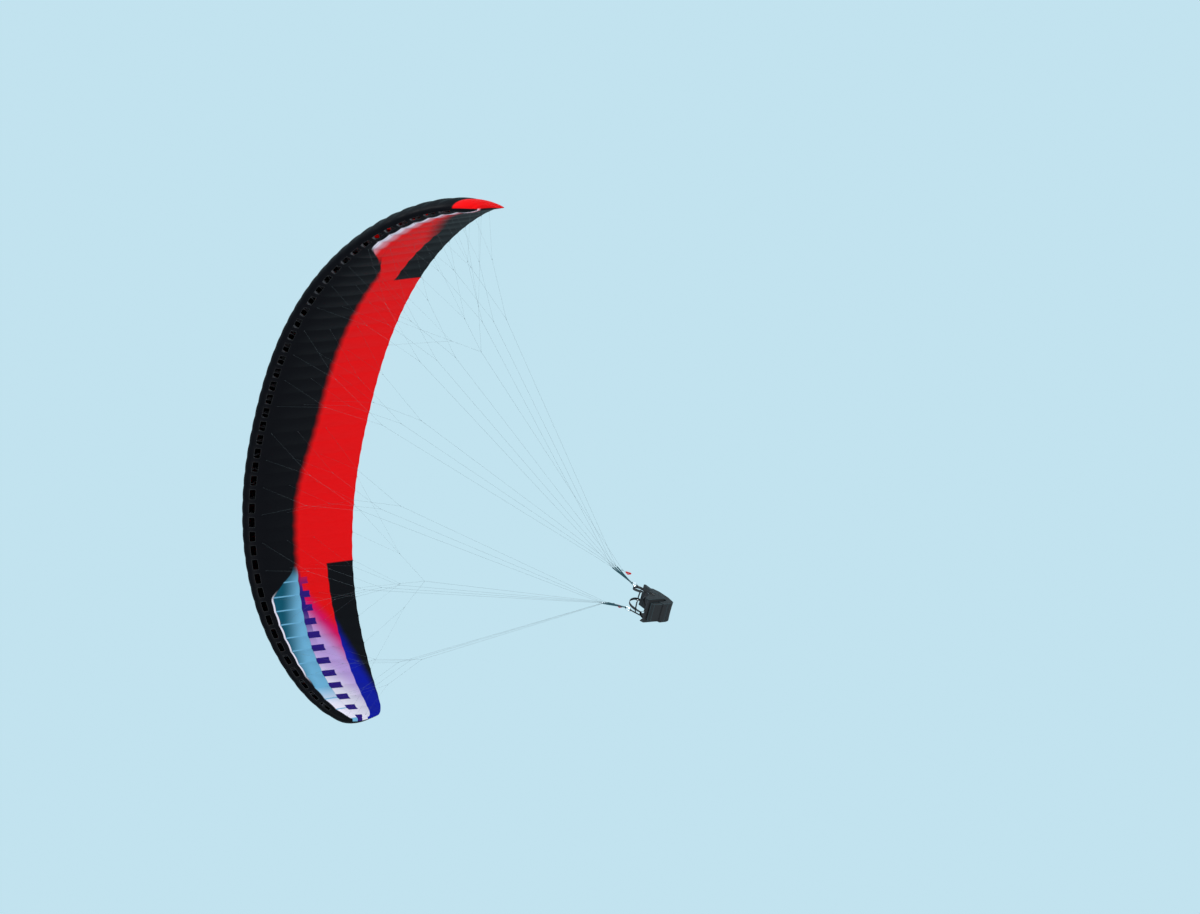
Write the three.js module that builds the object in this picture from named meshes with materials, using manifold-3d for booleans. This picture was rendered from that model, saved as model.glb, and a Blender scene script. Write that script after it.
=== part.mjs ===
// Solo paraglider: ram-air canopy, suspension lines, risers, carabiners and seat harness.
// Millimetres, +Z up, flight along -Y, +X is the flyer's left. The whole craft is symmetric about X = 0.
// The origin is on the lower skin of the centre rib, a third of the chord back.
import * as THREE from 'three';
import { mergeVertices } from 'three/addons/utils/BufferGeometryUtils.js';
import Module from 'manifold-3d';

const wasm = await Module();
wasm.setup();

// Canopy plan and arc
const HALF_SPAN = 5700;          // flat half span
const HALF_CELLS = 23;           // cells on each side of the centre rib
const ROOT_CHORD = 2750;
const TIP_CHORD_SHARE = 0.225;   // tip chord over root chord
const PLAN_POWER = 2.14;         // roundness of the plan form
const TIP_SWEEP = 400;           // how far back the tip's reference line lies
const REFERENCE = 0.35;          // chord fraction that the plan is laid out on
const ARC_ANGLE = 66;            // slope of the skin at the tip, degrees
const ARC_POWER = 1.28;
const CURL_ANGLE = 12;           // extra slope of the last cells, degrees
const CURL_START = 0.8;

// Aerofoil and cloth
const THICKNESS = 0.17;          // over the chord
const CAMBER = 0.035;
const EDGE_HALF = 4;             // half thickness of the trailing edge
const SKIN = 2.5;                // cloth with its seams and ribs, as one wall
const BALLOON = 26;              // how far a cell's skin bulges past its ribs
const CELL_COLUMNS = 2;          // strips of skin across one cell
const MOUTH = { front: 0.015, back: 0.05, side: 0.14 };

// Brake flaps: rear part of the chord that the brake lines pull down
const HINGE = 0.72;              // chord fraction of the hinge line
const HINGE_GAP = 0.3;
const FLAP_LEAN = 12;            // room at the top of a flap's front face
const FLAP_END = 12;             // room at a flap's ends, at the hinge
const SEAM = 0.3;                // gap between neighbouring pieces

// Hang points
const HANG_Y = -90;
const HANG_X = 210;              // carabiner from the middle
const HANG_Z = -7850;            // carabiner centre
const RISER_LENGTH = 470;
const RISER_LEAN = 14;           // outward lean, degrees

const rad = THREE.MathUtils.degToRad;
const vec = (x, y, z) => new THREE.Vector3(x, y, z);

function chord(a) {
  const fullness = Math.sqrt(Math.max(0, 1 - Math.pow(a, PLAN_POWER)));
  return ROOT_CHORD * (TIP_CHORD_SHARE + (1 - TIP_CHORD_SHARE) * fullness);
}

function slope(a) {
  const curl = THREE.MathUtils.clamp((a - CURL_START) / (1 - CURL_START), 0, 1);
  return rad(ARC_ANGLE * Math.pow(a, ARC_POWER) + CURL_ANGLE * curl * curl);
}

// Point of the reference line at flat span fraction a, summed along the arc in short steps.
function arcPoint(a) {
  const steps = 48;
  let x = 0;
  let z = 0;
  for (let i = 0; i < steps; i++) {
    const angle = slope(a * (i + 0.5) / steps);
    x += Math.cos(angle) * HALF_SPAN * a / steps;
    z -= Math.sin(angle) * HALF_SPAN * a / steps;
  }
  return { x, z };
}

// Camber and half thickness of the aerofoil, in chord fractions.
function aerofoil(x) {
  const half = 5 * THICKNESS
    * (0.2969 * Math.sqrt(x) - 0.126 * x - 0.3516 * x ** 2 + 0.2843 * x ** 3 - 0.1036 * x ** 4);
  return { camber: CAMBER * 4 * x * (1 - x), half };
}

const ORIGIN_LIFT = ROOT_CHORD * (aerofoil(REFERENCE).half - aerofoil(REFERENCE).camber);

// Point on the canopy. rib counts ribs from the centre, x is the chord fraction, side is 1 on
// the upper skin and -1 on the lower, and inset moves the point into the wing.
function skinPoint(rib, x, side, inset = 0) {
  const a = Math.min(1, Math.abs(rib) / HALF_CELLS);
  const hand = rib < 0 ? -1 : 1;
  const c = chord(a);
  const angle = slope(a);
  const arc = arcPoint(a);
  const foil = aerofoil(x);
  const betweenRibs = Math.sin(Math.PI * (Math.abs(rib) % 1));
  const fade = Math.min(1, 8 * x) * Math.sqrt(1 - x) * Math.min(1, c / ROOT_CHORD + 0.3);
  const half = Math.max(foil.half * c + BALLOON * betweenRibs * fade, EDGE_HALF);
  const height = foil.camber * c + side * Math.max(half - inset, x > 0 ? 0.5 : 0);
  const y = TIP_SWEEP * a ** 3 + (x - REFERENCE) * c;
  return vec(
    hand * (arc.x + Math.sin(angle) * height),
    y,
    arc.z + Math.cos(angle) * height + ORIGIN_LIFT,
  );
}

// Closed solid from rings of points: place(step, corner) gives each point, and the flat outline
// of the corners closes both ends.
function loft(corners, steps, place) {
  const n = corners.length;
  const points = steps.flatMap((step) => corners.map((corner) => place(step, corner)));
  const faces = [];
  for (let i = 0; i + 1 < steps.length; i++) {
    for (let k = 0; k < n; k++) {
      const a = i * n + k;
      const b = i * n + (k + 1) % n;
      faces.push(a, b, b + n, a, b + n, a + n);
    }
  }
  const flat = corners.map((corner) => new THREE.Vector2(corner.flatX, corner.flatY));
  const turn = Math.sign(THREE.ShapeUtils.area(flat));
  const last = (steps.length - 1) * n;
  for (const tri of THREE.ShapeUtils.triangulateShape(flat, [])) {
    const sameTurn = Math.sign(THREE.ShapeUtils.area(tri.map((i) => flat[i]))) === turn;
    const [a, b, c] = sameTurn ? tri : [...tri].reverse();
    faces.push(c, b, a, last + a, last + b, last + c);
  }
  const geometry = new THREE.BufferGeometry();
  geometry.setAttribute('position', new THREE.Float32BufferAttribute(points.flatMap((p) => p.toArray()), 3));
  geometry.setIndex(faces);
  return facingOut(geometry);
}

function signedVolume(geometry) {
  const p = geometry.attributes.position;
  const index = geometry.index.array;
  const a = vec(0, 0, 0);
  const b = vec(0, 0, 0);
  const c = vec(0, 0, 0);
  let sum = 0;
  for (let i = 0; i < index.length; i += 3) {
    a.fromBufferAttribute(p, index[i]);
    b.fromBufferAttribute(p, index[i + 1]);
    c.fromBufferAttribute(p, index[i + 2]);
    sum += a.dot(b.cross(c)) / 6;
  }
  return sum;
}

function facingOut(geometry) {
  if (signedVolume(geometry) < 0) {
    const index = geometry.index.array;
    for (let i = 0; i < index.length; i += 3) {
      [index[i], index[i + 1]] = [index[i + 1], index[i]];
    }
  }
  return geometry;
}

function toSolid(geometry) {
  const plain = geometry.clone();
  for (const name of Object.keys(plain.attributes)) {
    if (name !== 'position') plain.deleteAttribute(name);
  }
  const merged = facingOut(mergeVertices(plain, 1e-4));
  return new wasm.Manifold(new wasm.Mesh({
    numProp: 3,
    vertProperties: Float32Array.from(merged.attributes.position.array),
    triVerts: Uint32Array.from(merged.index.array),
  }));
}

function toGeometry(solid) {
  const mesh = solid.getMesh();
  const geometry = new THREE.BufferGeometry();
  geometry.setAttribute('position', new THREE.BufferAttribute(Float32Array.from(mesh.vertProperties), 3));
  geometry.setIndex(Array.from(mesh.triVerts));
  return geometry;
}

const joinAll = (solids) => solids.reduce((whole, next) => whole.add(next));

// Materials by name: colour, roughness, metalness
const FINISH = {
  blackCloth: [0x15161b, 0.75, 0],
  redCloth: [0xb3202c, 0.75, 0],
  line: [0x3c3f46, 0.8, 0],
  webbing: [0x1a1b1e, 0.85, 0],
  metal: [0xb9bec4, 0.35, 0.9],
  padding: [0x24262b, 0.9, 0],
  grip: [0xb3202c, 0.8, 0],
};

const paraglider = new THREE.Group();

function addPiece(name, geometry, finish) {
  const [color, roughness, metalness] = FINISH[finish];
  const mesh = new THREE.Mesh(geometry, new THREE.MeshStandardMaterial({ color, roughness, metalness }));
  mesh.name = name;
  paraglider.add(mesh);
}

// A piece of the left side and its mirror image on the right.
function addPair(name, geometry, finish) {
  addPiece(`${name}_left`, geometry, finish);
  const other = geometry.clone();
  other.scale(-1, 1, 1);
  addPiece(`${name}_right`, facingOut(other), finish);
}

// Canopy

// Chord stations of the skins. The line rows at 0.1, 0.33 and 0.6 are among them.
const FRONT_STATIONS = [0, 0.01, 0.055, 0.1, 0.2, 0.33, 0.6, HINGE];
const REAR_STATIONS = [HINGE, 0.86, 1];
const CAVITY_FRONT = [0.01, 0.055, 0.1, 0.2, 0.33, 0.6];
const CAVITY_BACK = 0.94;

// Corners of an aerofoil outline over some chord stations, upper skin first, then back along
// the lower one. The nose is one corner.
function outline(stations) {
  const corner = (x, side) => {
    const foil = aerofoil(x);
    return { x, side, flatX: x, flatY: foil.camber + side * (foil.half + 0.004) };
  };
  const upper = [...stations].reverse().map((x) => corner(x, 1));
  const lower = stations.map((x) => corner(x, -1));
  return stations[0] === 0 ? [...upper, ...lower.slice(1)] : [...upper, ...lower];
}

// Ribs and the crests between them, from one rib to another, drawn in by trim at both ends.
function ribSteps(from, to, trim) {
  const steps = [];
  for (let rib = from; rib <= to; rib += 1 / CELL_COLUMNS) steps.push(rib);
  steps[0] += trim;
  steps[steps.length - 1] -= trim;
  return steps;
}

const RIB_PITCH = HALF_SPAN / HALF_CELLS;
const SEAM_RIBS = SEAM / 2 / RIB_PITCH;
const WALL_RIBS = SKIN / RIB_PITCH;

const wing = (stations, steps, inset) =>
  toSolid(loft(outline(stations), steps, (rib, corner) => skinPoint(rib, corner.x, corner.side, inset)));

// Air intake in the nose's underside, between two ribs.
function mouth(rib) {
  const corners = [
    { x: MOUTH.front, inset: -40, flatX: 0, flatY: 0 },
    { x: MOUTH.back, inset: -40, flatX: 1, flatY: 0 },
    { x: MOUTH.back, inset: 30, flatX: 1, flatY: 1 },
    { x: MOUTH.front, inset: 20, flatX: 0, flatY: 1 },
  ];
  const steps = [rib + MOUTH.side, rib + 1 - MOUTH.side];
  return toSolid(loft(corners, steps, (at, corner) => skinPoint(at, corner.x, -1, corner.inset)));
}

// Sections: first and last rib, and the rib from which the full chord is fixed. In front of that
// rib the section ends at the hinge line.
const SECTIONS = [
  { name: 'centre_cells', from: -4, to: 4, fixedFrom: -4 },
  { name: 'mid_cells', from: 4, to: 16, fixedFrom: 16 },
  { name: 'tip_cells', from: 16, to: 23, fixedFrom: 20 },
];
const CLOSED_FROM = 22;          // the last cell has no intake

// Block that clears the rear of the chord between two ribs.
function rearCut(from, to) {
  const corners = [[HINGE, -400], [1.1, -400], [1.1, 400], [HINGE, 400]]
    .map(([x, height]) => ({ x, height, flatX: x, flatY: height }));
  return toSolid(loft(corners, ribSteps(from - 1, to, 0), (rib, { x, height }) => {
    const base = skinPoint(rib, Math.min(x, 1), 1);
    const up = skinPoint(rib, 0.3, 1).sub(skinPoint(rib, 0.3, -1)).normalize();
    return base.addScaledVector(up, height).add(vec(0, x > 1 ? 200 : 0, 0));
  }));
}

function canopySection({ from, to, fixedFrom }) {
  const whole = fixedFrom < to;
  const stations = whole ? [...FRONT_STATIONS, ...REAR_STATIONS.slice(1)] : FRONT_STATIONS;
  const cavityStations = [...CAVITY_FRONT, whole ? CAVITY_BACK : HINGE + 0.03];
  let solid = wing(stations, ribSteps(from, to, SEAM_RIBS), 0)
    .subtract(wing(cavityStations, ribSteps(from, to, WALL_RIBS), SKIN));
  if (whole && fixedFrom > from) solid = solid.subtract(rearCut(from, fixedFrom));
  for (let rib = from; rib < Math.min(to, CLOSED_FROM); rib++) solid = solid.subtract(mouth(rib));
  return toGeometry(solid);
}

for (const section of SECTIONS) {
  const add = section.from < 0 ? addPiece : addPair;
  add(section.name, canopySection(section), 'blackCloth');
}

// Brake flaps, each hinged on the lower skin. nearGap and farGap are the room at the trailing
// edge towards the next piece, so that neighbours clear each other when they are pulled down.
const FLAPS = [
  { name: 'inner_flap', from: 4, to: 10, nearGap: 74, farGap: 90 },
  { name: 'middle_flap', from: 10, to: 16, nearGap: 90, farGap: 80 },
  { name: 'outer_flap', from: 16, to: 20, nearGap: 44, farGap: 66 },
];

function brakeFlap({ from, to, nearGap, farGap }) {
  const ribs = ribSteps(from, to, 0);
  // Share of the way from the hinge to the trailing edge, which widens the end gaps.
  const place = (inset, wall) => (rib, corner) => {
    const reach = (corner.x - HINGE) / (1 - HINGE);
    const near = from + (FLAP_END + wall + nearGap * reach) / RIB_PITCH;
    const far = to - (FLAP_END + wall + farGap * reach) / RIB_PITCH;
    const at = near + (far - near) * (rib - from) / (to - from);
    const point = skinPoint(at, corner.x, corner.side, inset);
    const frontGap = HINGE_GAP + (corner.side > 0 ? FLAP_LEAN : 0);
    if (corner.x === HINGE) point.y += inset > 0 ? -20 : frontGap;
    return point;
  };
  const shell = toSolid(loft(outline(REAR_STATIONS), ribs, place(0, 0)));
  const hollow = toSolid(loft(outline([HINGE, CAVITY_BACK]), ribs, place(SKIN, SKIN)));
  return toGeometry(shell.subtract(hollow));
}

for (const flap of FLAPS) addPair(flap.name, brakeFlap(flap), 'redCloth');

// Webbing, rods and line forks

// Straight rod of the given radius from one point to another.
function rod(from, to, radius, sides = 4) {
  const along = to.clone().sub(from).normalize();
  const out = along.clone().cross(vec(0, 1, 0)).normalize();
  const wide = out.clone().cross(along);
  const corners = Array.from({ length: sides }, (_, i) => {
    const turn = 2 * Math.PI * (i + 0.5) / sides;
    return { flatX: Math.cos(turn), flatY: Math.sin(turn) };
  });
  return toSolid(loft(corners, [from, to], (at, { flatX, flatY }) => at.clone()
    .addScaledVector(out, radius * flatX)
    .addScaledVector(wide, radius * flatY)));
}

// Flat band of webbing through some points, its width laid along the across direction.
function band(points, width, thickness, across) {
  const corners = [[-1, -1], [1, -1], [1, 1], [-1, 1]].map(([u, v]) => ({ u, v, flatX: u, flatY: v }));
  const steps = points.map((at, i) => {
    const before = points[Math.max(0, i - 1)];
    const after = points[Math.min(points.length - 1, i + 1)];
    return { at, out: after.clone().sub(before).cross(across).normalize() };
  });
  return toSolid(loft(corners, steps, ({ at, out }, { u, v }) => at.clone()
    .addScaledVector(across, u * width / 2)
    .addScaledVector(out, v * thickness / 2)));
}

// Solid of a flat shape drawn in the plane of Y and Z, as wide as given along X.
function sideProfile(shape, width, curveSegments = 6) {
  const geometry = new THREE.ExtrudeGeometry(shape, { depth: width, bevelEnabled: false, curveSegments });
  geometry.translate(0, 0, -width / 2);
  geometry.applyMatrix4(new THREE.Matrix4().makeBasis(vec(0, 1, 0), vec(0, 0, 1), vec(1, 0, 0)));
  return toSolid(geometry);
}

const ringShape = (y, z, outer, inner) => {
  const shape = new THREE.Shape().absarc(y, z, outer, 0, 2 * Math.PI);
  shape.holes.push(new THREE.Path().absarc(y, z, inner, 0, 2 * Math.PI, true));
  return shape;
};

const polygon = (points) => new THREE.Shape(points.map(([u, v]) => new THREE.Vector2(u, v)));
const mean = (points) => points
  .reduce((sum, p) => sum.add(p), vec(0, 0, 0))
  .multiplyScalar(1 / points.length);
const between = (p, q, share) => p.clone().lerp(q, share);

// A point at a distance from one end of the way between two points.
const onWay = (from, to, distance) => to.clone().sub(from).setLength(distance).add(from);

const LINE = { main: 1.1, middle: 0.9, top: 0.7, sleeve: 4, sleeveHalf: 13, clear: 0.9, edgeClear: 1.2 };

// Sewn sleeve where a line forks, along the line that comes from below.
function sleeve(from, at) {
  const length = from.distanceTo(at);
  const start = onWay(from, at, length - LINE.sleeveHalf);
  const end = onWay(from, at, length + LINE.sleeveHalf);
  return rod(start, end, LINE.sleeve);
}

// Line from a fork to its upper end. It starts inside the fork's sleeve.
const branchLine = (fork, end, radius) => rod(onWay(fork, end, LINE.sleeveHalf - 4), end, radius);

// Suspension lines

const MAIN_SHARE = 0.7;          // how far up the way to the cloth the first fork lies
const MIDDLE_SHARE = 0.55;       // second fork, over the rest

// Rows: chord fraction on the lower skin, place of the riser's top along Y
const ROWS = [
  { name: 'A', x: 0.1, riserY: -52 },
  { name: 'B', x: 0.33, riserY: 0 },
  { name: 'C', x: 0.6, riserY: 58 },
];
const LINE_GROUPS = [
  { number: 1, ribs: [1, 3, 5, 7] },
  { number: 2, ribs: [9, 11, 13, 15] },
  { number: 3, ribs: [17, 19, 21, 22.8] },
];

// Link between riser and lines: an upright ring
const LINK = { halfWidth: 12, halfHeight: 17, rod: 4, overlap: 5 };
const LEAN_START = 64;           // height over the carabiner's centre where a riser starts to lean

// Point beside a carabiner, given over its centre, in the leaning plane of the riser.
function riserPoint(y, z, across = 0) {
  const lean = Math.tan(rad(RISER_LEAN)) * Math.max(0, z - LEAN_START);
  return vec(HANG_X + lean + across, HANG_Y + y, HANG_Z + z);
}

const LINK_TOP = RISER_LENGTH + 2 * LINK.halfHeight - LINK.overlap;

function lineGroup(row, group) {
  const start = riserPoint(row.riserY, LINK_TOP + SEAM + 0.4, (group.number - 2) * 4);
  const feet = group.ribs.map((rib) => skinPoint(rib, row.x, -1));
  const fork = between(start, mean(feet), MAIN_SHARE);
  const pieces = [rod(start, fork, LINE.main), sleeve(start, fork)];
  for (const pair of [feet.slice(0, 2), feet.slice(2)]) {
    const branch = between(fork, mean(pair), MIDDLE_SHARE);
    pieces.push(branchLine(fork, branch, LINE.middle), sleeve(fork, branch));
    for (const foot of pair) {
      pieces.push(branchLine(branch, onWay(foot, branch, LINE.clear), LINE.top));
    }
  }
  return toGeometry(joinAll(pieces));
}

for (const row of ROWS) {
  for (const group of LINE_GROUPS) addPair(`line_${row.name}${group.number}`, lineGroup(row, group), 'line');
}

// Brake lines: one main line to a fork, and a fan from the fork to each flap's trailing edge
const BRAKE_FORK_SHARE = 0.72;
const BRAKE_FAN_SHARE = 0.35;
const PULLEY = { y: 105, z: 380, radius: 9, width: 8 };
const BRAKE_FANS = [
  { number: 1, ribs: [5, 7, 9] },
  { number: 2, ribs: [11, 13, 15] },
  { number: 3, ribs: [17, 19] },
];

function brakeLines() {
  const foot = (rib) => skinPoint(rib, 1, -1);
  const start = riserPoint(PULLEY.y, PULLEY.z + PULLEY.radius + SEAM + 0.4);
  const fork = between(start, mean(BRAKE_FANS.flatMap((fan) => fan.ribs.map(foot))), BRAKE_FORK_SHARE);
  addPair('brake_main_line', toGeometry(rod(start, fork, LINE.main).add(sleeve(start, fork))), 'line');
  for (const fan of BRAKE_FANS) {
    const feet = fan.ribs.map(foot);
    const branch = between(fork, mean(feet), BRAKE_FAN_SHARE);
    const near = onWay(fork, branch, LINE.sleeveHalf + 3);
    const pieces = [rod(near, branch, LINE.middle), sleeve(near, branch)];
    for (const end of feet) pieces.push(branchLine(branch, onWay(end, branch, LINE.edgeClear), LINE.top));
    addPair(`brake_fan_${fan.number}`, toGeometry(joinAll(pieces)), 'line');
  }
}

brakeLines();

// Risers: three straps sewn together at the bottom, where they loop round the carabiner

const WEB = { width: 22, thick: 3 };
const LOOP = { outer: 11.5, inner: 8.5 };
const BAR = { radius: 5, height: 50, play: 0.8 };   // carabiner rod, its bars over and under the centre
const SEWN_TOP = 120;

function riser() {
  const loopCentre = BAR.height - BAR.radius - BAR.play + LOOP.inner;
  const strip = (y0, z0, y1, z1, half) => polygon([
    [y0 - half, z0], [y0 + half, z0], [y1 + half, z1], [y1 - half, z1],
  ]);
  const pieces = [
    sideProfile(ringShape(0, loopCentre, LOOP.outer, LOOP.inner), WEB.width, 6),
    sideProfile(strip(0, loopCentre + LOOP.inner + 1, 0, SEWN_TOP, 5), WEB.width),
  ];
  for (const row of ROWS) {
    const foot = Math.sign(row.riserY) * (WEB.thick + SEAM);
    pieces.push(sideProfile(strip(foot, SEWN_TOP - 5, row.riserY, RISER_LENGTH, WEB.thick / 2), WEB.width));
  }
  // Short strap that holds the brake pulley behind the rear strap.
  const rearStrap = ROWS[2].riserY;
  const strapY = rearStrap * (PULLEY.z - SEWN_TOP) / (RISER_LENGTH - SEWN_TOP);
  const arm = polygon([
    [strapY, PULLEY.z + 4],
    [PULLEY.y, PULLEY.z - 1],
    [PULLEY.y, PULLEY.z + 2],
    [strapY, PULLEY.z + 7],
  ]);
  pieces.push(sideProfile(arm, PULLEY.width - 2));
  const disc = new THREE.Shape().absarc(PULLEY.y, PULLEY.z, PULLEY.radius, 0, 2 * Math.PI);
  pieces.push(sideProfile(disc, PULLEY.width, 5));
  const webbing = toGeometry(joinAll(pieces));
  const p = webbing.attributes.position;
  for (let i = 0; i < p.count; i++) {
    const at = riserPoint(p.getY(i), p.getZ(i), p.getX(i));
    p.setXYZ(i, at.x, at.y, at.z);
  }
  const links = ROWS.map((row) => {
    const outer = new THREE.Shape().absellipse(0, 0, LINK.halfWidth, LINK.halfHeight, 0, 2 * Math.PI);
    const inner = new THREE.Path()
      .absellipse(0, 0, LINK.halfWidth - LINK.rod, LINK.halfHeight - LINK.rod, 0, 2 * Math.PI, true);
    outer.holes.push(inner);
    const ring = new THREE.ExtrudeGeometry(outer, { depth: LINK.rod, bevelEnabled: false, curveSegments: 4 });
    ring.translate(0, 0, -LINK.rod / 2);
    ring.rotateX(Math.PI / 2);
    const at = riserPoint(row.riserY, RISER_LENGTH - LINK.overlap + LINK.halfHeight);
    ring.translate(at.x, at.y, at.z);
    return toSolid(ring);
  });
  return toGeometry(joinAll([toSolid(webbing), ...links]));
}

addPair('riser', riser(), 'webbing');

// Carabiners: a frame open on its inner side, and a gate that swings in

const GATE = { x: -22, bottom: -32, top: 30, radius: 4.5, thick: 8 };
const FRAME_PATH = [
  [GATE.x, GATE.top + 0.8], [GATE.x, GATE.top + 7], [-19, 45], [-12, 50], [-4, 50], [4, 50], [12, 50],
  [21, 43], [24, 30], [24, -30], [21, -43], [12, -50], [4, -50], [-4, -50], [-12, -50], [-19, -47],
  [GATE.x, -42], [GATE.x, GATE.bottom - 5.3],
];

function carabiner() {
  const path = new THREE.CatmullRomCurve3(
    FRAME_PATH.map(([x, z]) => vec(HANG_X + x, HANG_Y, HANG_Z + z)), false, 'centripetal');
  const section = new THREE.Shape().absarc(0, 0, BAR.radius, 0, 2 * Math.PI);
  const frame = new THREE.ExtrudeGeometry(section, { extrudePath: path, steps: 30, curveSegments: 3 });
  addPair('carabiner_frame', toGeometry(toSolid(frame)), 'metal');
  const reach = GATE.top - GATE.bottom;
  const outlineShape = new THREE.Shape()
    .absarc(0, 0, GATE.radius, Math.PI, 2 * Math.PI)
    .lineTo(GATE.radius, reach)
    .lineTo(-GATE.radius, reach);
  const plate = { depth: GATE.thick, bevelEnabled: false, curveSegments: 6 };
  const gate = new THREE.ExtrudeGeometry(outlineShape, plate);
  gate.translate(0, 0, -GATE.thick / 2);
  gate.rotateX(Math.PI / 2);
  gate.translate(HANG_X + GATE.x, HANG_Y, HANG_Z + GATE.bottom);
  addPair('carabiner_gate', toGeometry(toSolid(gate)), 'metal');
}

carabiner();

// Brake toggles and the cords that hold them under their pulleys

const CORD_LENGTH = 60;
const TOGGLE = { halfWidth: 46, height: 92, wall: 7, width: 20 };

function toggle() {
  const top = PULLEY.z - PULLEY.radius - SEAM - CORD_LENGTH;
  const cordTop = riserPoint(PULLEY.y, PULLEY.z - PULLEY.radius - SEAM);
  const cordFoot = cordTop.clone().setZ(HANG_Z + top + SEAM);
  addPair('brake_cord', toGeometry(rod(cordFoot, cordTop, 2, 8)), 'line');
  const { halfWidth, height, wall } = TOGGLE;
  const loop = (neck, side, foot, top, bottom, shoulder) => [
    [-neck, top], [neck, top], [side, shoulder], [foot, bottom], [-foot, bottom], [-side, shoulder],
  ];
  const grip = polygon(loop(8, halfWidth, halfWidth - 12, 0, -height, 14 - height));
  const hole = loop(3, halfWidth - wall - 2, halfWidth - 15, -14, wall - height, 17 - height).reverse();
  grip.holes.push(new THREE.Path(hole.map(([u, v]) => new THREE.Vector2(u, v))));
  const solid = toGeometry(sideProfile(grip, TOGGLE.width));
  solid.translate(cordTop.x, HANG_Y + PULLEY.y, HANG_Z + top);
  addPair('brake_toggle', solid, 'grip');
}

toggle();

// Seat harness, drawn round the hinge line through the carabiners' lower bars

const HIP_Z = HANG_Z - BAR.height;
const SEAT = {
  half: 180, wall: 18.7, floor: 12, cushion: 40, front: -230, back: 110, frontZ: -430, backZ: -462,
};

function addHarness(name, solid, finish, add = addPiece) {
  const geometry = toGeometry(solid);
  geometry.translate(0, HANG_Y, HIP_Z);
  add(name, geometry, finish);
}

const seatFall = (SEAT.backZ - SEAT.frontZ) / (SEAT.back - SEAT.front);
const seatTop = (y) => SEAT.frontZ + seatFall * (y - SEAT.front);
const seatUnder = (y) => seatTop(y) - SEAT.cushion;

addHarness('seat_cushion', sideProfile(polygon([
  [SEAT.front, seatTop(SEAT.front)], [SEAT.front, seatUnder(SEAT.front)],
  [SEAT.back, seatUnder(SEAT.back)], [SEAT.back, seatTop(SEAT.back)],
]), 2 * SEAT.half - 1), 'padding');

const floorTop = (y) => seatUnder(y) - SEAM;
const floorUnder = (y) => floorTop(y) - SEAT.floor;
const bucketOuter = polygon([
  [SEAT.front - 5, floorUnder(SEAT.front - 5)], [SEAT.back + 10, floorUnder(SEAT.back + 10)],
  [160, -400], [160, -200], [20, -200], [-60, -330], [SEAT.front - 5, -400],
]);
const bucketInner = polygon([
  [SEAT.front - 20, floorTop(SEAT.front - 20)], [200, floorTop(200)], [200, -100], [SEAT.front - 20, -100],
]);
addHarness('seat_bucket', sideProfile(bucketOuter, 2 * (SEAT.half + SEAT.wall))
  .subtract(sideProfile(bucketInner, 2 * SEAT.half)), 'padding');

// Back rest: its front face runs from foot to head
const BACK = { foot: [125, -445], head: [264, 80], thick: 50, half: SEAT.half - SEAM };
const backUp = new THREE.Vector2(BACK.head[0] - BACK.foot[0], BACK.head[1] - BACK.foot[1]).normalize();

// Point of the back rest: along its front face from the foot, and out behind it.
function backPoint(along, behind) {
  const [y, z] = BACK.foot;
  return [y + backUp.x * along + backUp.y * behind, z + backUp.y * along - backUp.x * behind];
}

const BACK_LENGTH = Math.hypot(BACK.head[0] - BACK.foot[0], BACK.head[1] - BACK.foot[1]);
addHarness('back_rest', sideProfile(polygon([
  backPoint(0, 0), backPoint(0, BACK.thick), backPoint(BACK_LENGTH, BACK.thick), backPoint(BACK_LENGTH, 0),
]), 2 * BACK.half), 'padding');

// Back protector: an air bag under the rear of the seat and behind the back rest
const BAG = { half: 165, split: -20, depth: 130 };
const bucketUnder = (y) => floorUnder(y) - SEAM;
const behind = BACK.thick + SEAM;
addHarness('back_protector', sideProfile(polygon([
  [BAG.split, bucketUnder(BAG.split)], [SEAT.back + 12, bucketUnder(SEAT.back + 12)],
  [172, -500], backPoint(-20, behind), backPoint(430, behind), backPoint(420, behind + 60),
  backPoint(300, behind + BAG.depth - 20), backPoint(60, behind + BAG.depth),
  [240, -610], [140, -640], [BAG.split, -630],
]), 2 * BAG.half), 'padding');

// Reserve parachute's container under the front of the seat, and its pull handle on the right
const RESERVE = { front: -200, half: 150 };
addHarness('reserve_container', sideProfile(polygon([
  [RESERVE.front, bucketUnder(RESERVE.front)], [RESERVE.front - 16, -520], [RESERVE.front + 10, -580],
  [BAG.split - SEAM, -612], [BAG.split - SEAM, bucketUnder(BAG.split)],
]), 2 * RESERVE.half), 'padding');

const handle = polygon([[-150, -460], [-150, -400], [-60, -400], [-60, -460]]);
handle.holes.push(new THREE.Path([[-140, -450], [-70, -450], [-70, -420], [-140, -420]]
  .map(([u, v]) => new THREE.Vector2(u, v))));
const handleSolid = sideProfile(handle, 12).translate([-(SEAT.half + SEAT.wall + SEAM + 6), 0, 0]);
addHarness('reserve_handle', handleSolid, 'grip');

// Main straps from the carabiners down to the hips
const loopTop = BAR.radius + BAR.play - LOOP.inner;
const strapTop = loopTop - LOOP.inner - 1;
const mainStrap = sideProfile(ringShape(0, loopTop, LOOP.outer, LOOP.inner), WEB.width, 6)
  .add(sideProfile(polygon([[-1.5, strapTop], [1.5, strapTop], [8, -380], [5, -380]]), WEB.width));
addHarness('main_strap', mainStrap.translate([HANG_X, 0, 0]), 'webbing', addPair);

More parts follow.
